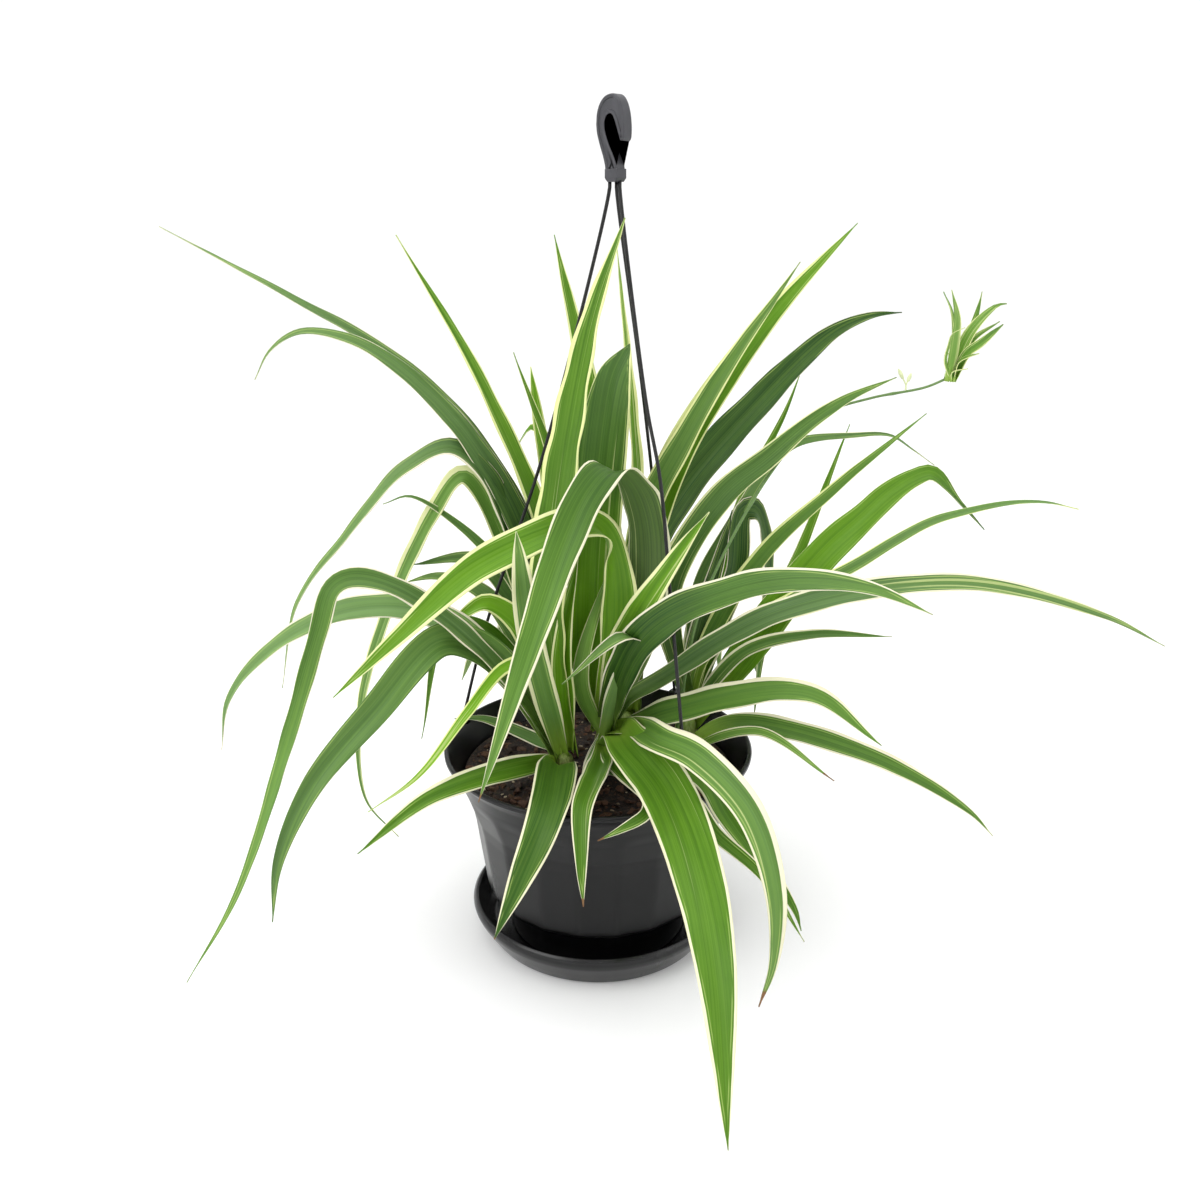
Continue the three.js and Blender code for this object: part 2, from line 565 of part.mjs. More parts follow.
// A blade is a thin box whose sections are laid along the midrib. A wide one has a channel down its
// middle. The lower face is split into triangles as the upper face is, so they never cross.
function blade(neck, leaf, order) {
  const sections = bladeSections(neck, leaf, order);
  const rows = sections.length - 1;
  const columns = leaf.width > NARROW_BLADE ? 2 : 1;
  const geometry = new THREE.BoxGeometry(1, 1, 1, columns, 1, rows);
  const position = geometry.attributes.position;
  for (let i = 0; i < position.count; i += 1) {
    const { middle, across, out, half } = sections[Math.round((position.getZ(i) + 0.5) * rows)];
    const side = 2 * position.getX(i);
    const channel = columns === 2 && side === 0 ? BLADE_CHANNEL * half : 0;
    const height = position.getY(i) * BLADE_THICK - channel;
    const point = middle.clone().addScaledVector(across, side * half).addScaledVector(out, height);
    position.setXYZ(i, point.x, point.y, point.z);
  }
  const lower = geometry.groups[3];
  const corners = geometry.index;
  for (let i = lower.start; i < lower.start + lower.count; i += 6) {
    const [a, b, d, c] = [0, 1, 2, 4].map((k) => corners.getX(i + k));
    [a, b, c, a, c, d].forEach((corner, k) => corners.setX(i + k, corner));
  }
  return solid(geometry);
}

function stem([x, y, z]) {
  const foot = MIX_TOP_Z - STEM_SINK;
  const profile = points2([
    [0, foot], [STEM_R, foot], [STEM_R, z - STEM_TAPER], [STEM_NECK_R, z], [0, z + STEM_CAP],
  ]);
  const geometry = new THREE.LatheGeometry(profile, STEM_SIDES).rotateX(Math.PI / 2);
  const at = placed([x, y, 0]);
  return solid(geometry.translate(at.x, at.y, 0));
}

function crown(name) {
  const neck = CROWNS[name];
  const leaves = [...LEAVES[name], ...rearLeaves(name)];
  return joined([stem(neck), ...leaves.map((leaf, order) => blade(neck, leaf, order))]);
}

// The runner springs beside the right rosette, arches out to the right, carries a few seed pods and
// ends in a plantlet.
const RUNNER_ROOT = [52, 18];
const RUNNER_FOOT_Z = MIX_TOP_Z - STEM_SINK;
const RUNNER_PATH = [
  [...RUNNER_ROOT, RUNNER_FOOT_Z], [...RUNNER_ROOT, 122], [55, 18, 150], [66, 22, 215],
  [100, 44, 282], [130, 66, 318], [150, 75, 335], [180, 75, 345], [215, 75, 352], [229, 75, 358],
];
const POD_FORK = [202, 75, 353];
const PODS = [[198, 75, 360.5], [204, 76, 358]];
const PLANTLET_AT = [229.5, 75, 360];
const PLANTLET = [
  { name: 'young_1', width: 5, roll: [20, 20], taper: 2,
    through: [[1, -1, 11], [1, -4, 27], [0, -6, 37], [-6, -8, 54]] },
  { name: 'young_2', width: 3, roll: [0, 0], taper: 2, through: [[2, 3, 19], [0, 6, 39], [-6, 9, 52]] },
  { name: 'young_3', width: 3, roll: [30, 30], taper: 2,
    through: [[-4, -3, 9], [-4, -7, 20], [-3, -9, 27], [4, -11, 31]] },
  { name: 'young_4', width: 4, roll: [40, 40], taper: 2,
    through: [[8, 3, 16], [14, 7, 28], [19, 11, 46], [20, 12, 52]] },
  { name: 'young_5', width: 6, roll: [50, 50], taper: 2.4,
    through: [[6, 1, 14], [13, 1, 30], [27, 1, 44], [33, 1, 45]] },
  { name: 'young_6', width: 6, roll: [50, 50], taper: 2.4,
    through: [[9, -3, 14], [16, -7, 21], [28, -11, 33]] },
  { name: 'young_7', width: 3, roll: [40, 40], taper: 2, through: [[14, 5, 21], [34, 13, 33]] },
  { name: 'young_8', width: 5, roll: [30, 30], taper: 2,
    through: [[4, -5, 9], [9, -10, 13], [14, -13, 15]] },
  { name: 'young_9', width: 4, roll: [0, 0], taper: 2, through: [[2, -3, 2], [9, -9, 5]] },
  { name: 'young_10', width: 4, roll: [0, 0], taper: 2, through: [[2, 5, 7], [1, 9, 13]] },
];

// A rounded body of few faces with its middle at a point of the plant.
function smallBall(radius, long, at) {
  const { x, y, z } = placed(at);
  const ball = new THREE.SphereGeometry(radius, RUNNER_SIDES, 4).rotateX(Math.PI / 2);
  return solid(ball.scale(1, 1, long).translate(x, y, z));
}

function runner() {
  const stalk = tubeAlong(RUNNER_PATH.map(placed), RUNNER_R, RUNNER_SIDES, RUNNER_STEPS);
  const pods = PODS.map((at) => {
    const foot = [POD_FORK[0], POD_FORK[1], POD_FORK[2] - POD_STALK_DROP];
    const podStalk = tubeAlong([foot, POD_FORK, at].map(placed), POD_STALK_R, 4, 3);
    return smallBall(POD_R, POD_LONG, at).add(podStalk);
  });
  const heart = smallBall(HEART_R, 1, PLANTLET_AT);
  const leaves = PLANTLET.map((leaf) => blade(PLANTLET_AT, leaf, 0));
  return joined([stalk, ...pods, heart, ...leaves]);
}

// ---------------------------------------------------------------------------------------------
// The part

const blackPlastic = { color: 0x26272a, roughness: 0.45, metalness: 0 };
const saucerPlastic = { color: 0x1b1c1f, roughness: 0.3, metalness: 0 };
const hangerPlastic = { color: 0x3a3b3e, roughness: 0.4, metalness: 0 };
const darkMix = { color: 0x2c2019, roughness: 0.95, metalness: 0 };
const stripedGreen = { color: 0x5b9438, roughness: 0.5, metalness: 0 };
const brightGreen = { color: 0x7fb043, roughness: 0.5, metalness: 0 };
const paleGreen = { color: 0xa9b86a, roughness: 0.55, metalness: 0 };

const part = new THREE.Group();

function addPiece(name, body, finish) {
  const mesh = new THREE.Mesh(geometryOf(body), new THREE.MeshStandardMaterial(finish));
  mesh.name = name;
  part.add(mesh);
}

const stemHoles = Object.values(CROWNS).map(([x, y]) => {
  const at = placed([x, y, 0]);
  return { at: [at.x, at.y], radius: STEM_R };
});
const runnerAt = placed([...RUNNER_ROOT, 0]);
stemHoles.push({ at: [runnerAt.x, runnerAt.y], radius: RUNNER_R + GAP });

addPiece('drip_saucer', dripSaucer(), saucerPlastic);
addPiece('pot', pot(), blackPlastic);
addPiece('potting_mix', pottingMix(stemHoles), darkMix);
addPiece('hanger_hook', hangerHook(), hangerPlastic);
for (const name of Object.keys(STRANDS)) {
  addPiece(`hanger_strand_${name}`, hangerStrand(name), hangerPlastic);
}
addPiece('crown_front', crown('front'), stripedGreen);
addPiece('crown_left', crown('left'), stripedGreen);
addPiece('crown_right', crown('right'), stripedGreen);
addPiece('crown_edge', crown('edge'), stripedGreen);
addPiece('crown_back', crown('back'), brightGreen);
addPiece('crown_back_left', crown('backleft'), brightGreen);
addPiece('runner', runner(), paleGreen);

export default part;
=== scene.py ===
"""A spider plant in a black faceted hanging pot: a satin pot in a glossy saucer, damp potting mix
with bark, a moulded hook with three strands, and each striped leaf as a thin ribbed blade."""

import math
from random import Random

import bmesh
import bpy
from mathutils import Matrix, Vector, noise


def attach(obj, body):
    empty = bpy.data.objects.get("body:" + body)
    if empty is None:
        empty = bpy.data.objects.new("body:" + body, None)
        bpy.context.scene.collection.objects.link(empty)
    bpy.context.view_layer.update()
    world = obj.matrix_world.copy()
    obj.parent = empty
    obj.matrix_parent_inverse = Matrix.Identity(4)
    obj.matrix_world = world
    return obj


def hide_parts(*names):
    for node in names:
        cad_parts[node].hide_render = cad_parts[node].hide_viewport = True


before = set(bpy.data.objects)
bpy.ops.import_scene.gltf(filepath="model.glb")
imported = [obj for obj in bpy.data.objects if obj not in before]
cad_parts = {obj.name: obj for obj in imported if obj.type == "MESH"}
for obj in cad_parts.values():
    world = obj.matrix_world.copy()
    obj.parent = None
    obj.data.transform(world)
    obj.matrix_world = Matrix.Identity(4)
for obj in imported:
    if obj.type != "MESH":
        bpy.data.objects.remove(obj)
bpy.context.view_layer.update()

MM = 0.001
FULL_TURN = 2 * math.pi

# Where things are, in metres, as in the part's source
PLANT_TURN = math.radians(45)  # the plant's points are written as seen from its front
FACETS = 20
HALF_FACET = math.pi / FACETS
FACET_TOP = 0.112
FACETS_BEYOND_R = 0.062  # the foot under the facets stays round
MIX_TOP = 0.115
HOOK_AT = (0.007, 0.007)
HOOK_BASE = 0.475
HOOK_THICK = 0.007
STRAND_R = 0.00105
STRAND_FOOT_Z = 0.1334
CLIP_WIDTH = 0.005


# --------------------
# Small helpers


def clamp(value, low, high):
    return min(max(value, low), high)


def smooth(x):
    t = clamp(x, 0, 1)
    return t * t * (3 - 2 * t)


def mix(a, b, share):
    return a + (b - a) * share


def placed(point):
    """From millimetres, as seen from the plant's front, to metres in the part's frame."""
    return Matrix.Rotation(PLANT_TURN, 3, "Z") @ (Vector(point) * MM)


def curve_points(points, per_span=40):
    """Close points along the centripetal curve through the given ones."""
    found = []
    for i in range(len(points) - 1):
        start, end = points[i], points[i + 1]
        before = points[i - 1] if i > 0 else start * 2 - end
        after = points[i + 2] if i + 2 < len(points) else end * 2 - start
        d0, d1, d2 = [
            (b - a).length ** 0.5 for a, b in ((before, start), (start, end), (end, after))
        ]
        leave = ((start - before) / d0 - (end - before) / (d0 + d1) + (end - start) / d1) * d1
        reach = ((end - start) / d1 - (after - start) / (d1 + d2) + (after - end) / d2) * d1
        for k in range(per_span):
            t = k / per_span
            found.append(
                start
                + leave * t
                + (3 * (end - start) - 2 * leave - reach) * t**2
                + (2 * (start - end) + leave + reach) * t**3
            )
    found.append(points[-1].copy())
    return found


def even_points(points, count):
    """count + 1 points at equal distances along a row of points, and the row's length."""
    reach = [0.0]
    for a, b in zip(points, points[1:]):
        reach.append(reach[-1] + (b - a).length)
    found, j = [], 0
    for i in range(count + 1):
        want = reach[-1] * i / count
        while j < len(reach) - 2 and reach[j + 1] < want:
            j += 1
        found.append(points[j].lerp(points[j + 1], (want - reach[j]) / (reach[j + 1] - reach[j])))
    return found, reach[-1]


def directions(points):
    """The direction of a row of points at each of them."""
    last = len(points) - 1
    return [
        (points[min(i + 1, last)] - points[max(i - 1, 0)]).normalized() for i in range(last + 1)
    ]


def in_metres(outline):
    return [(a * MM, b * MM) for a, b in outline]


def in_scene(name, data):
    made = bpy.data.objects.new(name, data)
    bpy.context.scene.collection.objects.link(made)
    return made


def new_object(name, bm, finish, shade_smooth=True):
    mesh = bpy.data.meshes.new(name)
    bm.to_mesh(mesh)
    bm.free()
    mesh.materials.append(finish)
    for polygon in mesh.polygons:
        polygon.use_smooth = shade_smooth
    return in_scene(name, mesh)


def finish_piece(name, bm, finish, replaces=(), shade_smooth=True):
    """Makes the bmesh a piece that rides with the pot."""
    piece = new_object(name, bm, finish, shade_smooth)
    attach(piece, "root")
    if replaces:
        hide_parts(*replaces)


# --------------------
# Finishes


class Finish:
    """A node material under construction, with short calls for the nodes that it uses."""

    def __init__(self, name):
        self.material = bpy.data.materials.new(name)
        self.material.use_nodes = True
        self.tree = self.material.node_tree
        self.shader = self.tree.nodes["Principled BSDF"]

    def plug(self, node, sockets):
        """Gives each of a node's sockets what it gets: another node's output, or a value."""
        for socket, source in sockets.items():
            if hasattr(source, "is_output"):
                self.tree.links.new(source, node.inputs[socket])
            else:
                node.inputs[socket].default_value = source

    def node(self, kind, sockets, **settings):
        made = self.tree.nodes.new(kind)
        for key, value in settings.items():
            setattr(made, key, value)
        self.plug(made, sockets)
        return made

    def attribute(self, name, output="Fac"):
        return self.node("ShaderNodeAttribute", {}, attribute_name=name).outputs[output]

    def here(self, scale=(1, 1, 1)):
        """Object coordinates, stretched."""
        place = self.node("ShaderNodeTexCoord", {}).outputs["Object"]
        return self.node("ShaderNodeMapping", {"Vector": place, "Scale": scale}).outputs[0]

    def math(self, operation, a, b=0.0):
        return self.node("ShaderNodeMath", {0: a, 1: b}, operation=operation).outputs[0]

    def noise(self, where, scale, detail=3.0, roughness=0.5):
        return self.node(
            "ShaderNodeTexNoise",
            {"Vector": where, "Scale": scale, "Detail": detail, "Roughness": roughness},
        ).outputs["Fac"]

    def spread(self, value, low, high, to_low=0.0, to_high=1.0, kind="SMOOTHSTEP"):
        """Takes what lies between low and high to what lies between to_low and to_high."""
        return self.node(
            "ShaderNodeMapRange",
            {
                "Value": value, "From Min": low, "From Max": high, "To Min": to_low,
                "To Max": to_high,
            },
            interpolation_type=kind,
        ).outputs[0]

    def blend(self, share, first, second, kind="MIX"):
        """Mixes two colours, by the numbered sockets that the mixing node has for colours."""
        return self.node(
            "ShaderNodeMix", {0: share, 6: first, 7: second}, data_type="RGBA", blend_type=kind
        ).outputs[2]

    def finished(self, surface, roughness, relief, distance, strength, shine=0.5):
        """The material, with its relief as bumps of that distance and strength."""
        bumps = self.node(
            "ShaderNodeBump", {"Height": relief, "Distance": distance, "Strength": strength}
        )
        self.plug(self.shader, {
            "Base Color": surface, "Roughness": roughness, "Specular IOR Level": shine,
            "Normal": bumps.outputs[0],
        })
        return self.material


def colour(*channels):
    """A colour as it is seen on a screen, 0 to 255, for a shader's socket."""
    light = [((c / 255 + 0.055) / 1.055) ** 2.4 if c > 10 else c / 3294 for c in channels]
    return (*light, 1)


MARGIN_WANDER = 0.0012
FINE_LINE_IN = 0.0011
PALE_BASE = 0.22


def leaf_finish():
    """Ribbed leaf skin: green of one tone or another, with painted shade where the tone is below
    zero, pale margins with a fine line inside them, streaks, a pale base and a dry tip. A blade
    says where a point lies, and how it looks there, with its own attributes."""
    skin = Finish("ribbed_leaf_skin")
    across, along, share = skin.node(
        "ShaderNodeSeparateXYZ", {"Vector": skin.attribute("blade", "Vector")}
    ).outputs
    seed = skin.attribute("leaf_seed")
    depth = skin.attribute("green_depth")
    upper = skin.attribute("upper_face")

    def lengthwise(across_scale, along_scale):
        return skin.node(
            "ShaderNodeCombineXYZ",
            {
                "X": skin.math("MULTIPLY", across, across_scale),
                "Y": skin.math("MULTIPLY", along, along_scale),
                "Z": skin.math("MULTIPLY", seed, 37.0),
            },
        ).outputs[0]

    ribs = skin.noise(lengthwise(1500, 5), 1.0, 2.0, 0.6)
    bands = skin.noise(lengthwise(420, 4), 1.0, 2.0, 0.5)
    lines = skin.noise(lengthwise(700, 3), 1.0, 1.0, 0.5)
    cloud = skin.noise(lengthwise(60, 22), 1.0, 3.0, 0.6)
    dark = skin.blend(cloud, colour(22, 56, 8), colour(38, 80, 16))
    bright = skin.blend(cloud, colour(92, 148, 6), colour(120, 172, 20))
    tone_and_shade = skin.attribute("tone_and_shade")
    green = skin.blend(tone_and_shade, dark, bright)
    # Painted shade: a tone below zero darkens the green towards near black, mostly near the roots
    # and on inner leaves.
    green = skin.blend(skin.spread(tone_and_shade, -1.0, 0.0, 0.85, 0.0, "LINEAR"), green, colour(10, 30, 5))
    green = skin.blend(skin.attribute("silver"), green, colour(134, 166, 112))
    green = skin.blend(skin.spread(ribs, 0.35, 0.65, 0.0, 0.16), green, colour(140, 180, 74))
    shadow = skin.spread(bands, 0.36, 0.5, 0.5, 0.0)
    green = skin.blend(shadow, green, skin.blend(1.0, green, colour(196, 210, 180), "MULTIPLY"))
    streaks = skin.attribute("streaks")
    threshold = skin.math("SUBTRACT", 0.8, skin.math("MULTIPLY", streaks, 0.26))
    streak = skin.spread(skin.math("SUBTRACT", lines, threshold), 0.0, 0.05, 0.0, 0.6)
    green = skin.blend(streak, green, colour(194, 206, 136))
    base = skin.spread(share, 0.0, PALE_BASE, 0.8, 0.0)
    base = skin.math("MULTIPLY", base, skin.spread(tone_and_shade, 0.0, 0.3, 0.25, 1.0))
    green = skin.blend(base, green, colour(150, 182, 62))
    wander = skin.math("SUBTRACT", skin.noise(lengthwise(200, 26), 1.0, 2.0), 0.5)
    edge = skin.math("ADD", depth, skin.math("MULTIPLY", wander, MARGIN_WANDER))
    cream = skin.blend(skin.attribute("yellow"), colour(232, 226, 200), colour(222, 230, 150))
    inner = skin.math("ABSOLUTE", skin.math("SUBTRACT", edge, FINE_LINE_IN))
    fine_line = skin.math(
        "MULTIPLY", skin.spread(inner, 0.0001, 0.00035, 0.5, 0.0), skin.spread(bands, 0.45, 0.55)
    )
    surface = skin.blend(fine_line, green, colour(176, 196, 112))
    margin = skin.spread(edge, -0.0001, 0.0002, 1.0, 0.0)
    surface = skin.blend(margin, surface, cream)
    withered = skin.math("ADD", skin.attribute("dry"), skin.math("MULTIPLY", wander, 0.06))
    surface = skin.blend(skin.spread(withered, 0.0, 0.01), surface, colour(126, 92, 60))
    pale = skin.blend(0.2, surface, colour(160, 188, 124))
    surface = skin.blend(upper, pale, surface)
    roughness = skin.spread(ribs, 0.3, 0.7, 0.4, 0.54, "LINEAR")
    relief = skin.math("ADD", skin.math("MULTIPLY", ribs, 0.6), bands)
    return skin.finished(surface, roughness, relief, 0.0003, 0.5, shine=0.22)


def plastic_finish(name, base, roughness, scuff, shine=0.4):
    """Moulded black plastic with a faint grain, dust and a few dull scuffs."""
    skin = Finish(name)
    dust = skin.noise(skin.here((1, 1, 0.35)), 60.0, 6.0, 0.65)
    grain = skin.noise(skin.here(), 1400.0, 2.0)
    drift = skin.noise(skin.here((1, 1, 0.4)), 14.0, 3.0)
    lighter = tuple(min(c * 1.9 + 0.004, 1) for c in base[:3]) + (1,)
    surface = skin.blend(skin.spread(dust, 0.45, 0.8, 0.0, scuff), base, lighter)
    wear = skin.math("ADD", skin.spread(dust, 0.4, 0.75, 0.0, 0.12), drift)
    worn = skin.spread(wear, 0.2, 0.9, roughness - 0.06, roughness + 0.1)
    return skin.finished(surface, worn, grain, 0.00005, 0.35, shine)


def mix_finish():
    """Damp potting mix: dark crumbs, brown fibre and a few pale grains."""
    skin = Finish("damp_potting_mix")
    crumbs = skin.noise(skin.here(), 420.0, 6.0, 0.7)
    patches = skin.noise(skin.here(), 45.0, 4.0)
    dark = skin.blend(patches, colour(14, 10, 8), colour(40, 28, 20))
    brown = skin.blend(skin.spread(crumbs, 0.48, 0.7), dark, colour(80, 54, 36))
    pale = skin.spread(skin.noise(skin.here(), 900.0, 2.0), 0.72, 0.78)
    surface = skin.blend(pale, brown, colour(130, 110, 82))
    return skin.finished(surface, 0.9, crumbs, 0.0015, 0.9)


def bark_finish(name, dark, light):
    """Bits of bark, or pale grains: each bit has its own shade."""
    skin = Finish(name)
    shade = skin.attribute("bit_shade")
    fibre = skin.noise(skin.here((1, 1, 3)), 700.0, 5.0, 0.65)
    tint = skin.blend(shade, dark, light)
    surface = skin.blend(skin.spread(fibre, 0.35, 0.7, 0.0, 0.5), tint, dark)
    return skin.finished(surface, 0.85, fibre, 0.0004, 0.6)


def stem_finish(name, low, high):
    """Clasping leaf bases: pale, with fine upright veins, browner towards the mix."""
    skin = Finish(name)
    veins = skin.noise(skin.here((1, 1, 0.06)), 900.0, 3.0, 0.6)
    rise = skin.node("ShaderNodeSeparateXYZ", {"Vector": skin.here()}).outputs["Z"]
    tint = skin.blend(skin.spread(rise, MIX_TOP, MIX_TOP + 0.02), low, high)
    surface = skin.blend(skin.spread(veins, 0.35, 0.7, 0.0, 0.5), tint, colour(190, 205, 130))
    return skin.finished(surface, 0.5, veins, 0.0003, 0.6)


def stalk_finish(name, dark, light):
    """The round skin of the runner or of a pod: thin and a little mottled."""
    skin = Finish(name)
    veins = skin.noise(skin.here(), 350.0, 3.0)
    return skin.finished(skin.blend(veins, dark, light), 0.45, veins, 0.0002, 0.4)


LEAF = leaf_finish()
POT_PLASTIC = plastic_finish("satin_black_plastic", colour(8, 8, 9), 0.3, 0.4, 0.27)
SAUCER_PLASTIC = plastic_finish("glossy_black_plastic", colour(9, 9, 10), 0.22, 0.35)
HANGER_PLASTIC = plastic_finish("grey_black_plastic", colour(12, 12, 13), 0.36, 0.5)
HOOK_PLASTIC = plastic_finish("worn_grey_plastic", colour(58, 58, 62), 0.34, 0.5)
POTTING_MIX = mix_finish()
BARK = bark_finish("bark_bits", colour(34, 22, 15), colour(96, 64, 42))
GRAIN = bark_finish("pale_grains", colour(120, 104, 82), colour(186, 172, 146))
GREEN_STEM = stem_finish("clasping_leaf_bases", colour(86, 80, 42), colour(126, 158, 56))
BROWN_STEM = stem_finish("brown_sheath", colour(64, 46, 30), colour(110, 110, 56))
RUNNER_SKIN = stalk_finish("runner_skin", colour(66, 100, 44), colour(112, 144, 76))
POD_SKIN = stalk_finish("pale_pod_skin", colour(196, 206, 150), colour(222, 228, 190))


# --------------------
# Turned pieces: saucer, pot and potting mix


def turned(profile, steps):
    """Turns a profile of (radius, height) points in metres once round the Z axis."""
    bm = bmesh.new()
    corners = [bm.verts.new((r, 0, z)) for r, z in profile]
    lines = [bm.edges.new(pair) for pair in zip(corners, corners[1:])]
    bmesh.ops.spin(
        bm, geom=corners + lines, cent=(0, 0, 0), axis=(0, 0, 1), angle=FULL_TURN,
        steps=steps, use_merge=True,
    )
    bmesh.ops.remove_doubles(bm, verts=bm.verts, dist=1e-6)
    bmesh.ops.recalc_face_normals(bm, faces=bm.faces)
    return bm


ARC_STEPS = 4


def rounded(profile, radius):
    """The profile with its sharp corners made into small arcs."""
    points = [Vector((r, z)) * MM for r, z in profile]
    found = [points[0]]
    for before, corner, after in zip(points, points[1:], points[2:]):
        back, on = before - corner, after - corner
        cut = min(radius * MM, back.length * 0.45, on.length * 0.45)
        start, end = corner + back.normalized() * cut, corner + on.normalized() * cut
        for k in range(ARC_STEPS + 1):
            t = k / ARC_STEPS
            found.append(start.lerp(corner, t).lerp(corner.lerp(end, t), t))
    found.append(points[-1])
    return [(max(p.x, 0), p.y) for p in found]


# Outlines in millimetres, from the middle of the underside out and back in over the top
SAUCER_OUTLINE = [
    (0, 0), (72.6, 0), (74, 1.2), (78.5, 8), (84, 17), (85, 20.5), (84.4, 23), (82.5, 24.8),
    (81, 23.6), (80.6, 19), (76.2, 9.5), (71, 4), (68, 2.5), (0, 2.5),
]


def make_saucer():
    bm = turned(rounded(SAUCER_OUTLINE, radius=1.6), steps=144)
    finish_piece("saucer", bm, SAUCER_PLASTIC, ["drip_saucer"])


FACET_FADE = 0.008
FACET_ARCH = 0.004
FACET_EDGE = 0.0009
FACET_EDGE_SPREAD = 0.09


def facet_level(off):
    """Where a facet lies, as a share of the round wall's radius: off is the place on it, from -1
    to 1, and the edges between facets are softened."""
    soften = FACET_EDGE * math.exp(-(((1 - abs(off)) / FACET_EDGE_SPREAD) ** 2))
    return math.cos(HALF_FACET) / math.cos(off * HALF_FACET) - soften


def draw_in_wall(bm, level):
    """Draws a round wall in to the facets. The top of each facet is a low arch."""
    for v in bm.verts:
        if math.hypot(v.co.x, v.co.y) > FACETS_BEYOND_R:
            off = (math.atan2(v.co.y, v.co.x) / HALF_FACET) % 2 - 1
            top = FACET_TOP - FACET_ARCH * abs(off) ** 4
            inward = mix(1, level(off), smooth((top - v.co.z) / FACET_FADE))
            v.co.x *= inward
            v.co.y *= inward


POT_OUTLINE = [
    (0, 4), (56.4, 4), (56.8, 2.8), (59, 2.8), (60.6, 32), (72.4, 32), (74.6, 34.5), (81, 82),
    (82.6, 90), (87.6, 104), (90.3, 114), (93, 122), (96.8, 127.4), (99.8, 128.8), (100, 131.2),
    (99.2, 132), (97.5, 132), (94.9, 127.4), (88.4, 114), (80.7, 90), (79.1, 82), (72, 34.4),
    (58.4, 34.4), (57.2, 6), (0, 6),
]
STEPS_PER_FACET = 10


def finer(profile, step):
    """The profile with more points where two of them are further apart than step."""
    found = [profile[0]]
    for (r0, z0), (r1, z1) in zip(profile, profile[1:]):
        parts = max(1, math.ceil(math.hypot(r1 - r0, z1 - z0) / step))
        found += [(mix(r0, r1, k / parts), mix(z0, z1, k / parts)) for k in range(1, parts + 1)]
    return found


def make_pot():
    profile = finer(rounded(POT_OUTLINE, radius=1.4), 0.003)
    bm = turned(profile, FACETS * STEPS_PER_FACET)
    draw_in_wall(bm, facet_level)
    finish_piece("pot_shell", bm, POT_PLASTIC, ["pot"])


MIX_R = 0.0875
MIX_LEVEL_FROM_R = 0.088  # the unevenness dies out towards here
MIX_LEVEL_OVER = 0.012
MIX_WAVES = ((38, 0.0026), (130, 0.0016), (420, 0.0011))  # how close, and how high
MIX_RINGS = 60
MIX_SIDE = [  # in millimetres, from the middle of the underside
    (0, 6.3), (56.9, 6.3), (58.1, 34.7), (71.7, 34.7), (78.8, 82), (79.8, 90), (87.5, 114),
]


def mix_height(x, y):
    """The uneven top of the potting mix, dying out at the wall."""
    spread = Vector((x, y, 0))
    uneven = sum(noise.noise(spread * close) * high for close, high in MIX_WAVES)
    return MIX_TOP + uneven * smooth((MIX_LEVEL_FROM_R - math.hypot(x, y)) / MIX_LEVEL_OVER)


def make_potting_mix():
    side = finer(in_metres(MIX_SIDE), 0.012)
    rings = [(MIX_R * (1 - k / MIX_RINGS), MIX_TOP) for k in range(1, MIX_RINGS + 1)]
    bm = turned([*side, *rings], steps=180)
    draw_in_wall(bm, lambda off: math.cos(HALF_FACET))
    for v in bm.verts:
        if v.co.z > MIX_TOP - 0.0005:
            v.co.z = mix_height(v.co.x, v.co.y)
    finish_piece("mix_bed", bm, POTTING_MIX, ["potting_mix"])


BITS_REACH = 0.084
BIT_BREADTHS = (0.4, 0.9)  # as shares of a bit's length
BIT_HEIGHTS = (0.2, 0.5)
BIT_LIFT = 0.12
BIT_ROUGHNESS = 0.12
BIT_TILT = 0.5


def make_bits(name, count, sizes, finish, seed):
    """Small broken bits that lie on the mix, each a squashed ball of few faces."""
    draw = Random(seed)
    bm = bmesh.new()
    shade = bm.verts.layers.float.new("bit_shade")
    for _ in range(count):
        reach = BITS_REACH * math.sqrt(draw.random())
        bearing = draw.uniform(0, FULL_TURN)
        x, y = reach * math.cos(bearing), reach * math.sin(bearing)
        size = draw.uniform(*sizes)
        turn = Matrix.Rotation(draw.uniform(0, FULL_TURN), 4, "Z")
        tilt = Matrix.Rotation(draw.uniform(-BIT_TILT, BIT_TILT), 4, "X")
        broad, high = size * draw.uniform(*BIT_BREADTHS), size * draw.uniform(*BIT_HEIGHTS)
        shape = Matrix.Diagonal((size, broad, high, 1))
        at = Matrix.Translation((x, y, mix_height(x, y) + size * BIT_LIFT))
        made = bmesh.ops.create_icosphere(
            bm, subdivisions=1, radius=0.5, matrix=at @ turn @ tilt @ shape
        )
        tint = draw.random()
        for v in made["verts"]:
            v[shade] = tint
            v.co += Vector(
                [draw.uniform(-BIT_ROUGHNESS, BIT_ROUGHNESS) * size for _ in range(3)]
            )
    finish_piece(name, bm, finish, shade_smooth=False)


# --------------------
# Hanger: outlines in millimetres, in an upright plane through the hook or the clip

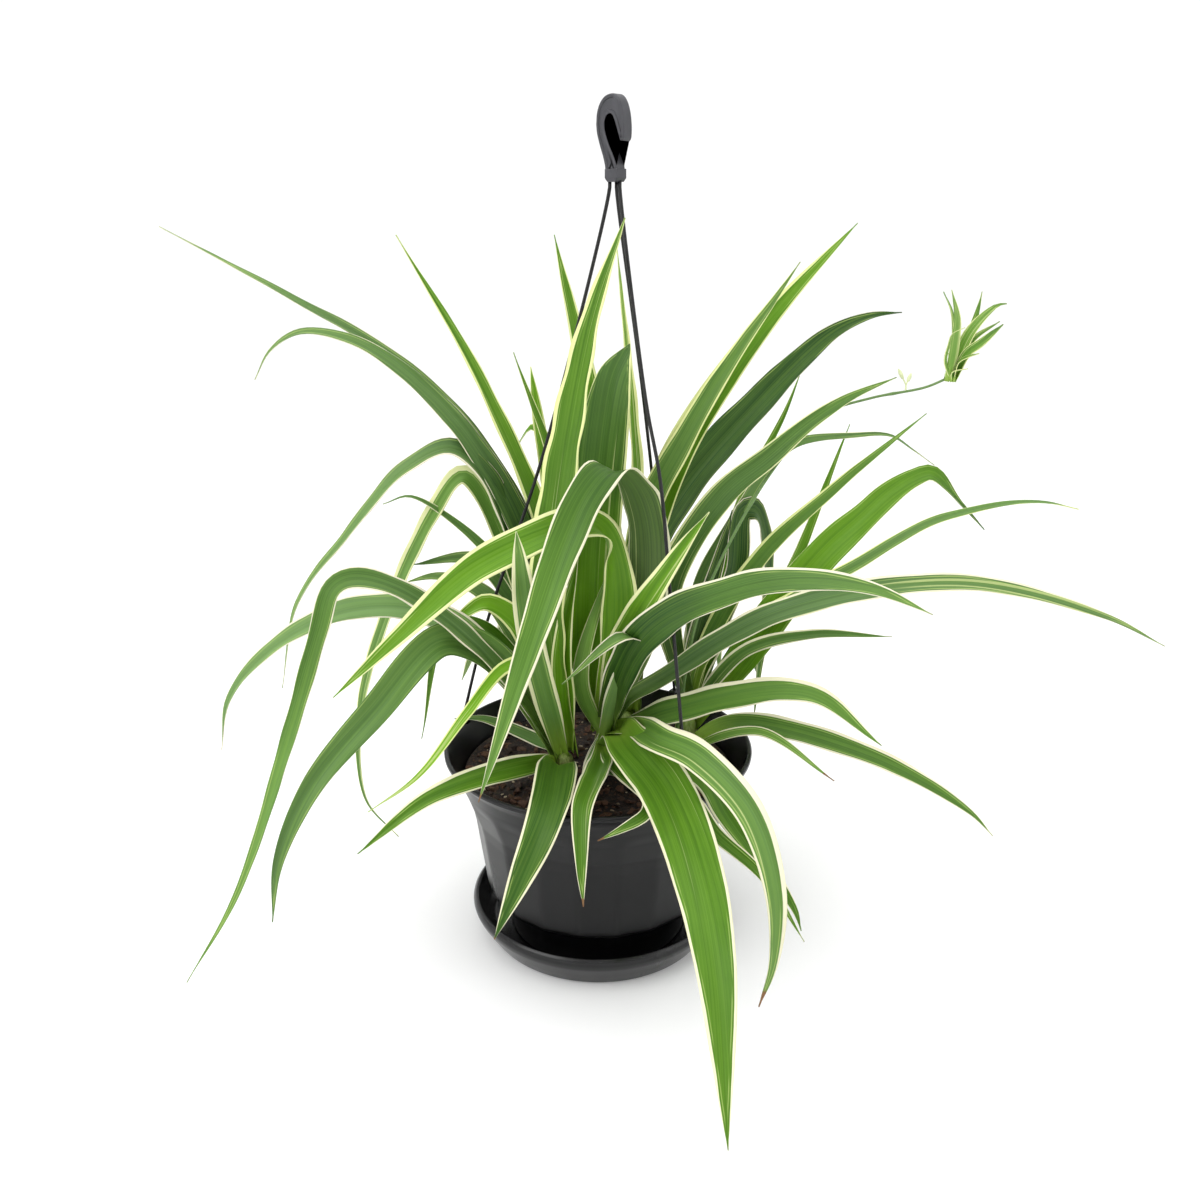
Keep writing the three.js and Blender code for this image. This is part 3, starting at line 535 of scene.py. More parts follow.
HOOK_OUTLINE = [
    [(4.4, 3.5), (4.1, 7.7), (2.7, 10.8), (0.6, 14.7), (-1.8, 18.6), (-4.1, 23.3), (-5.6, 28),
     (-5.6, 31.5), (-4, 34.2), (-1.6, 35), (0.4, 34.1), (1.8, 32), (3.4, 28.4), (5.6, 23.2)],
    [(5.6, 23.2), (6.3, 21.3), (7.6, 20.7), (8.8, 21.7), (9.4, 25.6), (9.1, 31.1), (8, 36.5),
     (5.8, 41.4), (2.7, 44.4), (-0.6, 45), (-5.3, 44), (-8.8, 41.3), (-11.4, 36.4), (-12.2, 30)],
    [(-12.2, 30), (-11.5, 25.3), (-9.1, 18.6), (-6.8, 13.2), (-5.2, 8), (-4.9, 3.5)],
]
BLOCK_OUTLINE = [(-4.9, 2), (-3, 0), (3, 0), (4.9, 2), (4.9, 6.8), (-4.9, 6.8)]
SOCKETS = {"left": (-3, -1.5), "front": (2.8, 0.6), "back": (-1, 1.9)}
STRAND_TOP = 0.0013  # how far each strand runs into its socket
STRAND_HANGS = 0.003  # and how far straight down from it
STRANDS = {  # bearing of the clip, and the points that the strand passes through
    "left": (159, [(-33, 14, 321), (-74, 29, 202)]),
    "front": (302, [(27, -32, 359), (35, -47, 317), (41, -61, 255)]),
    "back": (56, [(29, 44, 347)]),
}
CLIP_OUTLINE = [
    (94.2, 130), (95.3, 129.6), (96.1, 132.3), (100.3, 132.3), (100.5, 127.4), (99.2, 126.9),
    (99.6, 125.4), (102.2, 126), (102.2, 133.2), (101, 134.4), (95.4, 134.4), (94.2, 133.2),
]
CLIP_R = 0.0989


def plate(bm, outline, thick, edge, recess=None):
    """An upright plate in the XZ plane with rounded edges. A recess is a shallow panel in each
    face: how wide a wall stands round it, and its depth."""
    corners = [bm.verts.new((x, -thick / 2, z)) for x, z in outline]
    face = bm.faces.new(corners)
    made = bmesh.ops.extrude_face_region(bm, geom=[face], use_keep_orig=True)
    moved = [g for g in made["geom"] if isinstance(g, bmesh.types.BMVert)]
    bmesh.ops.translate(bm, verts=moved, vec=(0, thick, 0))
    faces = {f for v in corners + moved for f in v.link_faces}
    bmesh.ops.recalc_face_normals(bm, faces=list(faces))
    flats = [f for f in faces if len(f.verts) == len(outline)]
    rims = [e for f in flats for e in f.edges]
    bmesh.ops.bevel(
        bm, geom=rims, offset=edge, affect="EDGES", segments=3, profile=0.5, material=-1,
        clamp_overlap=True,
    )
    if recess:
        flats = sorted(bm.faces, key=lambda f: len(f.verts))[-2:]
        wall, depth = recess
        for flat in flats:
            bmesh.ops.inset_individual(bm, faces=[flat], thickness=wall, depth=0)
            bmesh.ops.inset_individual(bm, faces=[flat], thickness=depth * 0.6, depth=-depth)


def make_hook():
    outline = in_metres(HOOK_OUTLINE[-1][-1:])
    for run in HOOK_OUTLINE:
        path = curve_points([Vector((x, 0, z)) * MM for x, z in run], 5)
        outline += [(p.x, p.z) for p in path[:-1]]
    bm = bmesh.new()
    plate(bm, outline, HOOK_THICK, edge=0.0008, recess=(0.0012, 0.0005))
    plate(bm, in_metres(BLOCK_OUTLINE), thick=0.0078, edge=0.0005)
    bmesh.ops.translate(bm, verts=bm.verts, vec=(*HOOK_AT, HOOK_BASE))
    finish_piece("moulded_hook", bm, HOOK_PLASTIC, ["hanger_hook"], False)


def tube(path, radius, sides, reference):
    """A round tube along a row of points. radius is a number, or a function that gives it at a
    share of the length."""
    rows = len(path) - 1
    bm = bmesh.new()
    bmesh.ops.create_grid(bm, x_segments=sides, y_segments=rows, size=0.5)
    headings = directions(path)
    for v in bm.verts:
        row = round((v.co.y + 0.5) * rows)
        turn = FULL_TURN * (v.co.x + 0.5)
        side = headings[row].cross(reference).normalized()
        up = side.cross(headings[row])
        size = radius(row / rows) if callable(radius) else radius
        v.co = path[row] + (side * math.cos(turn) + up * math.sin(turn)) * size
    bmesh.ops.remove_doubles(bm, verts=bm.verts, dist=1e-6)
    ends = [e for e in bm.edges if e.is_boundary]
    bmesh.ops.holes_fill(bm, edges=ends, sides=0)
    bmesh.ops.recalc_face_normals(bm, faces=bm.faces)
    return bm


def make_strand(name):
    bearing_degrees, through = STRANDS[name]
    bearing = math.radians(bearing_degrees) + PLANT_TURN
    sx, sy = SOCKETS[name]
    top = (HOOK_AT[0] + sx * MM, HOOK_AT[1] + sy * MM)
    stations = [
        Vector((*top, HOOK_BASE + STRAND_TOP)),
        Vector((*top, HOOK_BASE - STRAND_HANGS)),
        *[placed(p) for p in through],
        Vector((CLIP_R * math.cos(bearing), CLIP_R * math.sin(bearing), STRAND_FOOT_Z)),
    ]
    path, _ = even_points(curve_points(stations), count=90)
    bm = tube(path, STRAND_R, sides=16, reference=Vector((1, 0, 0)))
    clip = bmesh.new()
    plate(clip, in_metres(CLIP_OUTLINE), CLIP_WIDTH, edge=0.0004)
    outward = Matrix.Rotation(bearing, 3, "Z")
    bmesh.ops.rotate(clip, verts=clip.verts, cent=(0, 0, 0), matrix=outward)
    finish_piece(
        f"strand_{name}", bm, HANGER_PLASTIC, [f"hanger_strand_{name}"]
    )
    finish_piece(f"rim_clip_{name}", clip, HANGER_PLASTIC, shade_smooth=False)


# --------------------
# Plant

# How the blades are made, in metres or as shares of a leaf's length, width or half width
BLADE_THICK = 0.0005
BLADE_ROW = 0.004
BLADE_ROWS = (16, 130)  # fewest and most
BLADE_COLUMNS, NARROW_COLUMNS = 12, 8
BLADE_SWELL = 0.3
BLADE_TAPER_FROM = 0.3
BLADE_TIP_HALF = 0.0003
ROOT_WIDTH = 0.56
BLADE_CHANNEL, NARROW_CHANNEL = 0.28, 0.14
ROOT_CHANNEL, ROOT_CHANNEL_ENDS = 0.8, 0.25
MIDRIB_ROUND = 0.004
EDGE_WAVE = 0.0011
EDGE_WAVE_LENGTHS = (0.035, 0.055)
EDGE_WAVE_GROWS = 0.3
EDGE_WAVE_NEEDS = 0.012  # half width from which the wave is full
MARGIN_FROM, MARGIN_GROWS = 0.05, 0.27
MARGIN_NEEDS = 0.007  # half width from which the margins are full
ROOT_GREEN = 0.0006  # keeps the edges green at the root
ROOT_GREEN_ENDS = 0.1
SKIN_LOOKS = ("tone_and_shade", "silver", "yellow", "streaks")

# The same in millimetres
NARROW_BLADE = 13  # a blade up to this width has fewer columns and a flatter channel
ROOT_RING_R = 3
ROOT_DROP = 4
ROOT_STAGGER = 2.2
ROOT_LEVELS = 5

# How a blade lies in its map for the bake: middles of the faces, and reach of faces and rims
MAP_UPPER, MAP_LOWER = 0.25, 0.75
MAP_FACE, MAP_RIMS = 0.23, (0.246, 0.236)
MAP_FOOT = 0.02


def look(tone_and_shade, left, right, streaks=0.25, silver=0.0, yellow=None, dry=0.0, fold=BLADE_CHANNEL):
    """How a leaf looks. A value may be a row that runs along the leaf. tone and shade: painted
    shade to near black (-1), dark (0) or bright green (1); left, right: widths of its pale margins
    in mm, looking from root to tip; streaks: how many; silver: grey bloom; yellow: cream (0) or
    yellow (1) margins, as the tone where it isn't given; dry: share of its length that has gone
    brown; fold: how deep its channel is, as a share of its half width."""
    return {
        "tone_and_shade": tone_and_shade, "left": left, "right": right, "streaks": streaks, "silver": silver,
        "yellow": tone_and_shade if yellow is None else yellow, "dry": dry, "fold": fold,
    }


# Each leaf: name, greatest width, roll about its length in degrees, taper, its look, and the
# points that its midrib passes through, in millimetres from the neck. A few leaves differ a
# little from those in the part's source.
FRONT_LEAVES = [
    ("big_arch", 27, (20, -32), 2.2,
     look((0, -0.8, 0.08, 0.35, 0.42), 1.5, 0.9, 0.25, (0, 0, 0, 0.1, 0.25), 0.1, dry=0.015),
     [(24, 2, 60), (27, -10, 133), (17, -28, 167), (4, -46, 180), (-8, -61, 171), (-22, -75, 144),
      (-38, -96, 101), (-70, -124, 7)]),
    ("bright_left", 26, (-105, -100, -30, -50, -60), 2.2, look(0.6, 1.9, 1.9, yellow=0.7),
     [(9, -15, 82), (4, -28, 133), (-11, -48, 148), (-70, -77, 130), (-113, -98, 96),
      (-148, -115, 66)]),
    ("blunt_tall", 32, (25, 20), 6.5, look((1, 0.9, 0.15, 0.08), 0.3, 1.2, 0.25, (0, 0, 0.1), 0.8),
     [(-8, 0, 50), (5, 20, 218), (16, 40, 240)]),
    ("small_back_left", 13, (20, -30), 1.8, look(0.3, 1.2, 1.2, 0.3, 0.3, 0),
     [(10, -40, 45), (20, -65, 80), (10, -70, 85), (-25, -70, 55)]),
    ("young_a", 11, -20, 1.8, look(0.6, 0.9, 0.9), [(-15, -15, 35), (5, -15, 115)]),
    ("bright_right", 20, (120, 110), 2.2, look(0.6, 1.7, 1.7, 0.4),
     [(7, -32, 52), (16, -59, 88), (29, -80, 119), (43, -90, 145), (55, -100, 166)]),
    ("broad_right", 23, (110, 90, 50, 35), 2.4,
     look((-0.8, -0.2, 0.12, 0.34), 1.2, (0, 0.1, 0.3), 0.15, (0, 0, 0.1, 0.25), 0),
     [(2, -19, 12), (14, -64, 71), (29, -85, 98), (52, -105, 119), (81, -125, 135),
      (109, -140, 141), (136, -153, 139), (159, -162, 130)]),
    ("long_right", 16, (45, 50), 1.9,
     look((-0.5, 0, 0.1, 0.1), 1.2, 0.8, (0.2, 0.4, 1, 1), 0.3, 0.1),
     [(15, -10, 20), (35, -10, 33), (105, -30, 86), (210, -45, 110), (295, -55, 92),
      (330, -60, 75)]),
    ("low_right", 20, (45, 48), 2.2, look((0.15, 0.35, 0.4), 2.1, 0.9, 0.25, 0.15, 0.1),
     [(40, -30, 20), (120, -70, 50), (160, -90, 25)]),
    ("big_front", 31, (30, 14), 2.4, look((0.3, 0.42, 0.36), 1.3, 1.3, 0.3, 0, 0.2, 0.008),
     [(8, -30, 9), (14, -56, 12), (33, -104, 8), (46, -177, 0), (52, -227, -23), (55, -275, -86)]),
    ("front_right", 19, (50, 20), 2.4,
     look((0.25, 0.3, 0.35), (1.2, 2.6, 2.4), 1.1, 0.35, (0.1, 0.3), 0.1, 0.03),
     [(17, -30, 10), (31, -92, 31), (51, -124, 35), (76, -152, 17), (88, -174, -17),
      (88, -182, -54), (81, -184, -81)]),
    ("low_front_a", 20, (35, 25), 2, look(0.35, 1.7, 1.1, 0.2, 0, 0.1),
     [(60, -90, 5), (70, -115, -5), (105, -140, -50), (110, -140, -65)]),
    ("low_front_b", 12, (35, 22), 1.9, look(0.3, 1, 0.9, 0.2, 0, 0.1),
     [(25, -35, -16), (35, -92, -4), (50, -117, 2), (61, -134, -7), (85, -145, -25),
      (110, -150, -65)]),
    ("front_small", 16, 0, 2.2, look(0.3, 1, 1, 0.25, 0, 0.1, 0.04),
     [(-2, -40, -8), (-8, -85, -1), (-13, -114, -3), (-13, -134, -30), (-12, -136, -52)]),
    ("front_left_tip", 16, (30, 0), 2, look(0.25, 1, 1, 0.2, 0, 0.1, 0.03),
     [(5, -37, -7), (20, -79, -5), (27, -97, -6), (23, -111, -8), (10, -118, -13),
      (-4, -121, -19)]),
    ("soil_a", 9, (0, 40), 2, look(0.3, 0.8, 0.8, 0.3, 0.5, 0),
     [(-10, -25, -25), (0, -30, -15), (20, -40, -15)]),
    ("soil_b", 9, (0, 40), 2, look(0.3, 0.8, 0.8, 0.3, 0.5, 0),
     [(-10, -35, -25), (5, -45, -15), (20, -55, -20)]),
]
LEFT_LEAVES = [
    ("kinked_long", 16, (-45, -40, -50, -60), 1.2,
     look((0, 0.1, 0.2, 0.5, 0.5), (1.4, 1.4, 0.5, 0, 0), (1.2, 1.2, 0.4, 0, 0), 0.1,
          (0.1, 0.3, 0.1, 0.3, 0.2), 0),
     [(-47, -23, 74), (-94, -37, 119), (-120, -42, 127), (-131, -46, 122), (-139, -53, 98),
      (-158, -67, 38), (-191, -89, -54), (-223, -99, -108)]),
    ("low_arch_left", 20, -50, 1.5,
     look(0.25, (1.2, 1, 0.5, 0.3), (1, 1.2, 0.9, 0.3), 0.2, 0.55, 0),
     [(-41, 5, 54), (-83, 1, 91), (-132, -3, 95), (-179, -7, 73), (-211, -9, 38), (-219, -11, 2)]),
    ("broad_droop", 21, (-80, -55), 2,
     look((0.1, 0.3, 0.2, 0.1), (0.6, 0, 0, 0), (0.6, 0, 0, 0), 0.2, 0.25, 0, fold=0.4),
     [(-24, -9, 43), (-53, -19, 77), (-73, -31, 84), (-109, -57, 50), (-143, -81, 13),
      (-163, -93, -30), (-168, -99, -66)]),
    ("thin_yellow", 9, (-85, -50), 1.6, look(1, 2, 2, 0.9),
     [(-11, -17, 46), (-20, -31, 70), (-34, -43, 71), (-56, -57, 47), (-84, -69, 13),
      (-113, -75, -7)]),
    ("over_rim_left", 15, (-50, -40), 1.9, look(0.4, 0.8, 1.6, 0.2, 0, 0.2),
     [(-12, -18, -3), (-75, -80, 6), (-115, -100, -20)]),
    ("low_inside_left", 10, (-30, -40), 1.7, look(0.15, 0.8, 1.2, 0.2, 0.2, 0),
     [(-15, 15, -5), (-55, 30, 5), (-75, 30, 5)]),
    ("tall_centre", 29, (75, 70), 2.4, look(0.36, 2.1, 1.9, 0.55, 0, 0.85),
     [(-10, -5, 90), (15, -15, 260), (37, -15, 324)]),
    ("blunt_short", 16, -155, 4.5, look(0.35, 2.2, 2.2, 0.3, 0.3, 0.4),
     [(-17, -43, 88), (-22, -74, 163)]),
    ("small_arch_left", 18, -75, 2.6, look(0.8, 1.3, 1.3),
     [(-12, 11, 34), (-28, 15, 78), (-49, 15, 93), (-62, 13, 87), (-76, 11, 74)]),
    ("front_droop", 25, (-5, -8), 2.2, look((0.2, 0.08, 0.08), 1.2, 1.2, 0.2, 0, 0.2, 0.008),
     [(-2, -30, 5), (-8, -104, 4), (-36, -124, -60)]),
    ("inner_a", 16, 110, 1.8, look((0.8, 0.5), 1.2, 1.2), [(0, -10, 75), (10, -10, 130)]),
]
RIGHT_LEAVES = [
    ("mid_right", 20, (55, 50), 2.1,
     look((0, 0.12, 0.25), (2.4, 1.8, 0.8, 0.4), 0.5, 0.3, 0.15, 0.6),
     [(-14, 3, 82), (20, 13, 143), (50, 19, 167), (76, 22, 189), (101, 25, 205), (132, 27, 218)]),
    ("twisted", 11, (60, 60, 85, 60, 40), 1.3, look(0.15, 0.5, 0.3, 0.1, 0.3, 0.3),
     [(10, 35, 72), (34, 45, 119), (58, 55, 156), (76, 59, 170), (115, 65, 174), (141, 65, 174),
      (156, 63, 165), (172, 60, 154)]),
    ("slim_right", 13, (52, 48), 1.6, look((0.1, 0.4, 0.4), (2, 2, 0.8), 0.5, 0.3, 0.1, 0.9),
     [(13, 15, 37), (49, 25, 98), (99, 33, 145), (157, 39, 193)]),
    ("thin_right_up", 10, 55, 1.8, look(0.55, 0.8, 0.5),
     [(40, 45, 25), (70, 55, 65), (115, 75, 180)]),
    ("broad_kink", 24, (60, 65, 65, 50, 20), 2.2,
     look((0.35, 0.62, 0.66, 0.5, 0.05), 0.15, 0.15, 0.1),
     [(35, -5, 36), (62, -8, 79), (88, -11, 115), (106, -11, 133), (124, -11, 151), (139, -11, 161),
      (149, -12, 164), (168, -16, 145), (183, -19, 129)]),
    ("outer_right", 10, 48, 1.7,
     look(0.3, (1.6, 1.6, 0.8, 0.1), (0.5, 0.4, 0.2, 0.1), 0.3, (0.1, 0.1, 0.3, 0.5), 0.9),
     [(14, -7, 43), (64, -17, 82), (104, -27, 110), (139, -35, 136), (159, -40, 145),
      (188, -43, 152), (208, -45, 153), (228, -47, 149)]),
    ("low_cream", 10, (60, 50), 2, look(0.25, 2, 1, 0.5, 0.2, 0.2),
     [(10, -15, 15), (35, -25, 50), (75, -35, 65), (125, -40, 65)]),
    ("narrow_up", 11, 50, 1.8, look(0.55, 0.8, 0.6),
     [(25, 75, 50), (45, 90, 125), (75, 105, 185), (85, 105, 215)]),
    ("folded_back", 17, (50, 100), 2.4, look((-0.4, -0.2, 0.1), 0.6, 0.6, 0.1),
     [(20, 25, 40), (35, 35, 85), (40, 45, 125), (50, 50, 125), (60, 55, 90), (55, 55, -35)]),
    ("dark_inner", 15, 55, 2.2, look(-0.5, 0.6, 0.6, 0.1), [(5, 15, 25), (30, 30, 130)]),
]
EDGE_LEAVES = [
    ("over_rim_right", 15, (45, 42), 2.1, look(0.25, 1.6, 0.9, 0.25, 0.1, 0.1),
     [(5, 0, 5), (30, 5, 15), (115, -25, 5), (170, -50, -20), (185, -55, -35)]),
    ("thin_over_rim", 7, 45, 1.8, look(0.5, 1.4, 1.4, 0.6, 0.2, 0.2, 0.08),
     [(10, -5, 5), (45, -10, 15), (90, -30, -10)]),
]
BACK_LEAVES = [
    ("bright_tall_a", 22, (70, 72), 2.2, look(0.6, 2.4, 0.8, (0.8, 0.7, 0.4, 0.1), 0, 0.9),
     [(8, -18, 109), (30, -11, 179), (66, 0, 236), (99, 11, 276), (144, 22, 322)]),
    ("bright_tall_b", 20, (58, 62), 1.8, look(0.25, 1.1, 1, 0.3, 0.15, 0.9),
     [(5, -20, 113), (14, -20, 152), (32, -16, 187), (52, -11, 222), (72, -6, 252), (91, -1, 278),
      (106, 4, 299)]),
    ("dark_tall", 27, (48, 45), 2.4, look((-0.5, -0.15, 0), 0.05, 0.05, 0.05, 0.05, fold=0.5),
     [(9, 22, 94), (37, 38, 146), (87, 52, 202), (139, 63, 250), (166, 68, 262), (190, 72, 264)]),
    ("narrow_tall", 16, 15, 1.8, look(0.6, 2.4, 2.6, 0.4, 0, 0.9),
     [(10, 0, 80), (5, 10, 185), (-8, 10, 306)]),
    ("far_upright", 19, -45, 2.4, look(0.45, 1.6, 1.6, 0.25, 0, 0.8),
     [(-20, 20, 185), (-48, 30, 315)]),
]
BACK_LEFT_LEAVES = [
    ("far_left_long", 18, (-50, -35), 0.95, look((-0.4, 0, 0.15), 0.1, 0.1, 0.1, (0, 0.2, 0.4)),
     [(-8, 5, 120), (-50, 17, 198), (-101, 29, 244), (-161, 39, 277), (-244, 47, 320)]),
    ("left_curl", 21, (-50, -60), 1.15,
     look((-0.5, -0.1, 0.1, 0.15), 0.3, 0.1, 0.1, (0, 0.1, 0.3, 0.45)),
     [(-8, 0, 118), (-43, -3, 191), (-85, -7, 237), (-115, -10, 255), (-144, -11, 259),
      (-163, -11, 248), (-174, -11, 230)]),
    ("thin_upright", 16, (-55, -50), 1.5, look(0.5, 2, 1, 0.3, 0, 0.9),
     [(7, 0, 110), (-33, -5, 225), (-83, -5, 315)]),
    ("arch_left", 20, (-42, -35), 0.95,
     look((-0.5, -0.2, 0.2, 0.3), (1.6, 1.6, 1, 0.5), 0.3, 0.2, (0, 0, 0.4, 0.5), 0),
     [(-7, -3, 84), (-31, -5, 166), (-54, -9, 188), (-84, -13, 176), (-124, -17, 132),
      (-158, -19, 88), (-174, -17, 26)]),
    ("hanging_curl", 14, (-50, -70), 1.6,
     look((0.4, 0.6, 0.4, 0.2), 1.4, (1.5, 4.2, 2.6, 1, 0.5), 0.7, (0, 0.25, 0.35, 0.3), 0.6),
     [(-10, 5, 75), (-50, 15, 165), (-75, 15, 135), (-131, 25, 0), (-131, 15, -75),
      (-107, 5, -100)]),
    ("thin_left", 11, -40, 1.5, look(0.3, 0.5, 0.7, 0.2, 0.3),
     [(-15, 10, 85), (-85, 15, 150), (-105, 15, 145)]),
    ("low_left_a", 18, (-65, -60), 1.8, look(0.15, 0.5, 0.6, 0.2, 0.3),
     [(-15, 15, 70), (-45, 20, 105), (-90, 25, 100)]),
    ("low_left_b", 16, (-65, -60), 1.8, look(0.15, 0.5, 0.6, 0.2, 0.3),
     [(-15, 5, 50), (-40, 10, 85), (-70, 15, 95), (-95, 15, 90)]),
    ("drooping_thin", 9, -60, 1.5, look(0.35, 0.6, 0.6),
     [(-15, -15, 45), (-40, -25, 75), (-60, -25, 75), (-80, -30, -5)]),
    ("young_tip_a", 13, -45, 1.6, look(0.4, 1.4, 1, 0.2, 0, 0.8),
     [(5, 5, 110), (10, 5, 165), (-15, 5, 245)]),
    ("young_blunt", 11, 10, 6, look(0.85, 1.4, 1.4, 0.2, 0, 0.9), [(10, 15, 100), (-5, 15, 235)]),
    ("young_hook", 11, (-35, -60), 4, look(0.6, 0.7, 0.7),
     [(10, 15, 105), (5, 20, 185), (-5, 25, 195), (-20, 25, 175)]),
]

# Each rosette: the part's node that it is, its neck in millimetres, and its leaves
CROWNS = {
    "front": ("crown_front", (4, 12, 142), FRONT_LEAVES),
    "left": ("crown_left", (-22, -5, 132), LEFT_LEAVES),
    "right": ("crown_right", (60, 35, 142), RIGHT_LEAVES),
    "edge": ("crown_edge", (60, 2, 128), EDGE_LEAVES),
    "back": ("crown_back", (20, 58, 132), BACK_LEAVES),
    "backleft": ("crown_back_left", (-38, 45, 132), BACK_LEFT_LEAVES),
}

# Leaves that arch down behind the plant, by the same rule as in the part's source: how many,
# their first and last bearing, and their reach, rise and width
REAR_LEAVES = {
    "back": (3, (78, 100), 165, 52, 19),
    "backleft": (2, (108, 124), 130, 40, 16),
    "right": (2, (74, 56), 120, 45, 17),
}
REAR_ARC = [(0.16, 0.62), (0.5, 1), (0.8, 0.45), (1, -0.55)]
REAR_TAPER = 2
REAR_LOOK = look(0.35, 1.6, 1.6, 0.3, yellow=0.2)


def rear_leaves(crown):
    count, bearings, far, high, width = REAR_LEAVES.get(crown, (0, None, 0, 0, 0))
    leaves = []
    for i in range(count):
        bearing = math.radians(mix(*bearings, i / (count - 1)))
        reach = far * (1 + 0.16 * math.sin(5 * i + 1))
        rise = high * (1 + 0.3 * math.cos(4 * i))
        through = [
            (reach * out * math.cos(bearing), reach * out * math.sin(bearing), rise * up)
            for out, up in REAR_ARC
        ]
        roll = (0, 12 * math.sin(3 * i))
        leaves.append((f"rear_{i + 1}", width, roll, REAR_TAPER, REAR_LOOK, through))
    return leaves


def half_width(width, taper, share):
    """Half the width at a share of the leaf's length."""
    swell = ROOT_WIDTH + (1 - ROOT_WIDTH) * smooth(share / BLADE_SWELL)
    tapered = max(0.0, (share - BLADE_TAPER_FROM) / (1 - BLADE_TAPER_FROM))
    return max(width * MM / 2 * swell * (1 - tapered**taper), BLADE_TIP_HALF)


def at_share(values, share):
    """What a row of values gives at a share of the leaf's length. A number holds all along."""
    if isinstance(values, (int, float)):
        return values
    last = len(values) - 1
    step = min(int(share * last), last - 1)
    return mix(values[step], values[step + 1], smooth(share * last - step))


def blade_stations(neck, leaf, order):
    """Middle, direction across, direction out of the upper face and half width, row by row."""
    _, width, roll, taper, _, through = leaf
    tip_x, tip_y = through[-1][:2]
    ring = ROOT_RING_R / math.hypot(tip_x, tip_y)
    drop = ROOT_DROP + ROOT_STAGGER * (order % ROOT_LEVELS)
    points = [(tip_x * ring, tip_y * ring, -drop), *through]
    midrib = [placed(Vector(p) + Vector(neck)) for p in points]
    path = curve_points(midrib)
    _, length = even_points(path, 1)
    rows = round(clamp(length / BLADE_ROW, *BLADE_ROWS))
    middles, _ = even_points(path, rows)
    heading = midrib[-1] - midrib[0]
    level = Vector((-heading.y, heading.x, 0)).normalized()
    stations = []
    for i, (middle, along) in enumerate(zip(middles, directions(middles))):
        flat = (level - along * level.dot(along)).normalized()
        across = Matrix.Rotation(math.radians(at_share(roll, i / rows)), 3, along) @ flat
        half = half_width(width, taper, i / rows)
        stations.append((middle, across, along.cross(across), half))
    return stations, length


def channel_share(side):
    """How deep the channel is there: 1 at the midrib, where it is round, and 0 at the edges."""
    rib, edge = math.sqrt(MIDRIB_ROUND), math.sqrt(1 + MIDRIB_ROUND)
    return (edge - math.sqrt(side * side + MIDRIB_ROUND)) / (edge - rib)


def unfold(bm, sheet, upper, unfolded):
    """Lays the two faces of a blade side by side for the bake, the rims beside the upper one."""
    for face in bm.faces:
        ups = [v[upper] > 0.5 for v in face.verts]
        rim = any(ups) and not all(ups)
        for loop in face.loops:
            side, share = sheet[loop.vert]
            is_up = loop.vert[upper] > 0.5
            middle = MAP_UPPER if rim or is_up else MAP_LOWER
            reach = MAP_RIMS[is_up] if rim else MAP_FACE
            loop[unfolded].uv = (middle + reach * side, mix(MAP_FOOT, 1 - MAP_FOOT, share))


def make_blade(neck, leaf, order, seed):
    """One leaf: a sheet laid along its midrib and folded to a channel, with waved edges and two
    faces. What its skin has to know is written on its vertices."""
    _, width, _, _, looks, _ = leaf
    stations, length = blade_stations(neck, leaf, order)
    rows = len(stations) - 1
    columns, channel = NARROW_COLUMNS, NARROW_CHANNEL
    if width > NARROW_BLADE:
        columns, channel = BLADE_COLUMNS, looks["fold"]
    draw = Random(seed)
    ripple = draw.uniform(*EDGE_WAVE_LENGTHS)
    phase = [draw.uniform(0, FULL_TURN) for _ in range(2)]
    leaf_seed = draw.random()
    bm = bmesh.new()
    bmesh.ops.create_grid(bm, x_segments=columns, y_segments=rows, size=0.5)
    for key in ("green_depth", "upper_face", "leaf_seed", "dry", *SKIN_LOOKS):
        bm.verts.layers.float.new(key)
    blade = bm.verts.layers.float_vector.new("blade")
    unfolded = bm.loops.layers.uv.new("OFBake")
    floats = bm.verts.layers.float
    depth, upper, dry = floats["green_depth"], floats["upper_face"], floats["dry"]
    made = bmesh.ops.extrude_face_region(bm, geom=bm.faces[:], use_keep_orig=True)
    for g in made["geom"]:
        if isinstance(g, bmesh.types.BMVert):
            g[upper] = 1.0
    sheet = {}
    for v in bm.verts:
        side, share = 2 * v.co.x, v.co.y + 0.5
        middle, across, out, half = stations[round(share * rows)]
        sheet[v] = (side, share)
        v[blade] = (side * half, share * length, share)
        margin = at_share(looks["left" if side > 0 else "right"], share) * MM
        margin *= smooth(half / MARGIN_NEEDS) * smooth((share - MARGIN_FROM) / MARGIN_GROWS)
        green = ROOT_GREEN * (1 - smooth(share / ROOT_GREEN_ENDS))
        v[depth] = (1 - abs(side)) * half - margin + green
        v[dry] = share - 1 + looks["dry"] if looks["dry"] else -1
        v[floats["leaf_seed"]] = leaf_seed
        for key in SKIN_LOOKS:
            v[floats[key]] = at_share(looks[key], share)
        folded = mix(ROOT_CHANNEL, channel, smooth(share / ROOT_CHANNEL_ENDS))
        wave = math.sin(FULL_TURN * share * length / ripple + phase[side > 0])
        wave *= smooth(share / EDGE_WAVE_GROWS) * min(1, half / EDGE_WAVE_NEEDS)
        lift = EDGE_WAVE * wave * abs(side) ** 3 - folded * half * channel_share(side)
        skin = BLADE_THICK * (v[upper] - 0.5)
        v.co = middle + across * (side * half) + out * (lift + skin)
    unfold(bm, sheet, upper, unfolded)
    bmesh.ops.recalc_face_normals(bm, faces=bm.faces)
    return bm


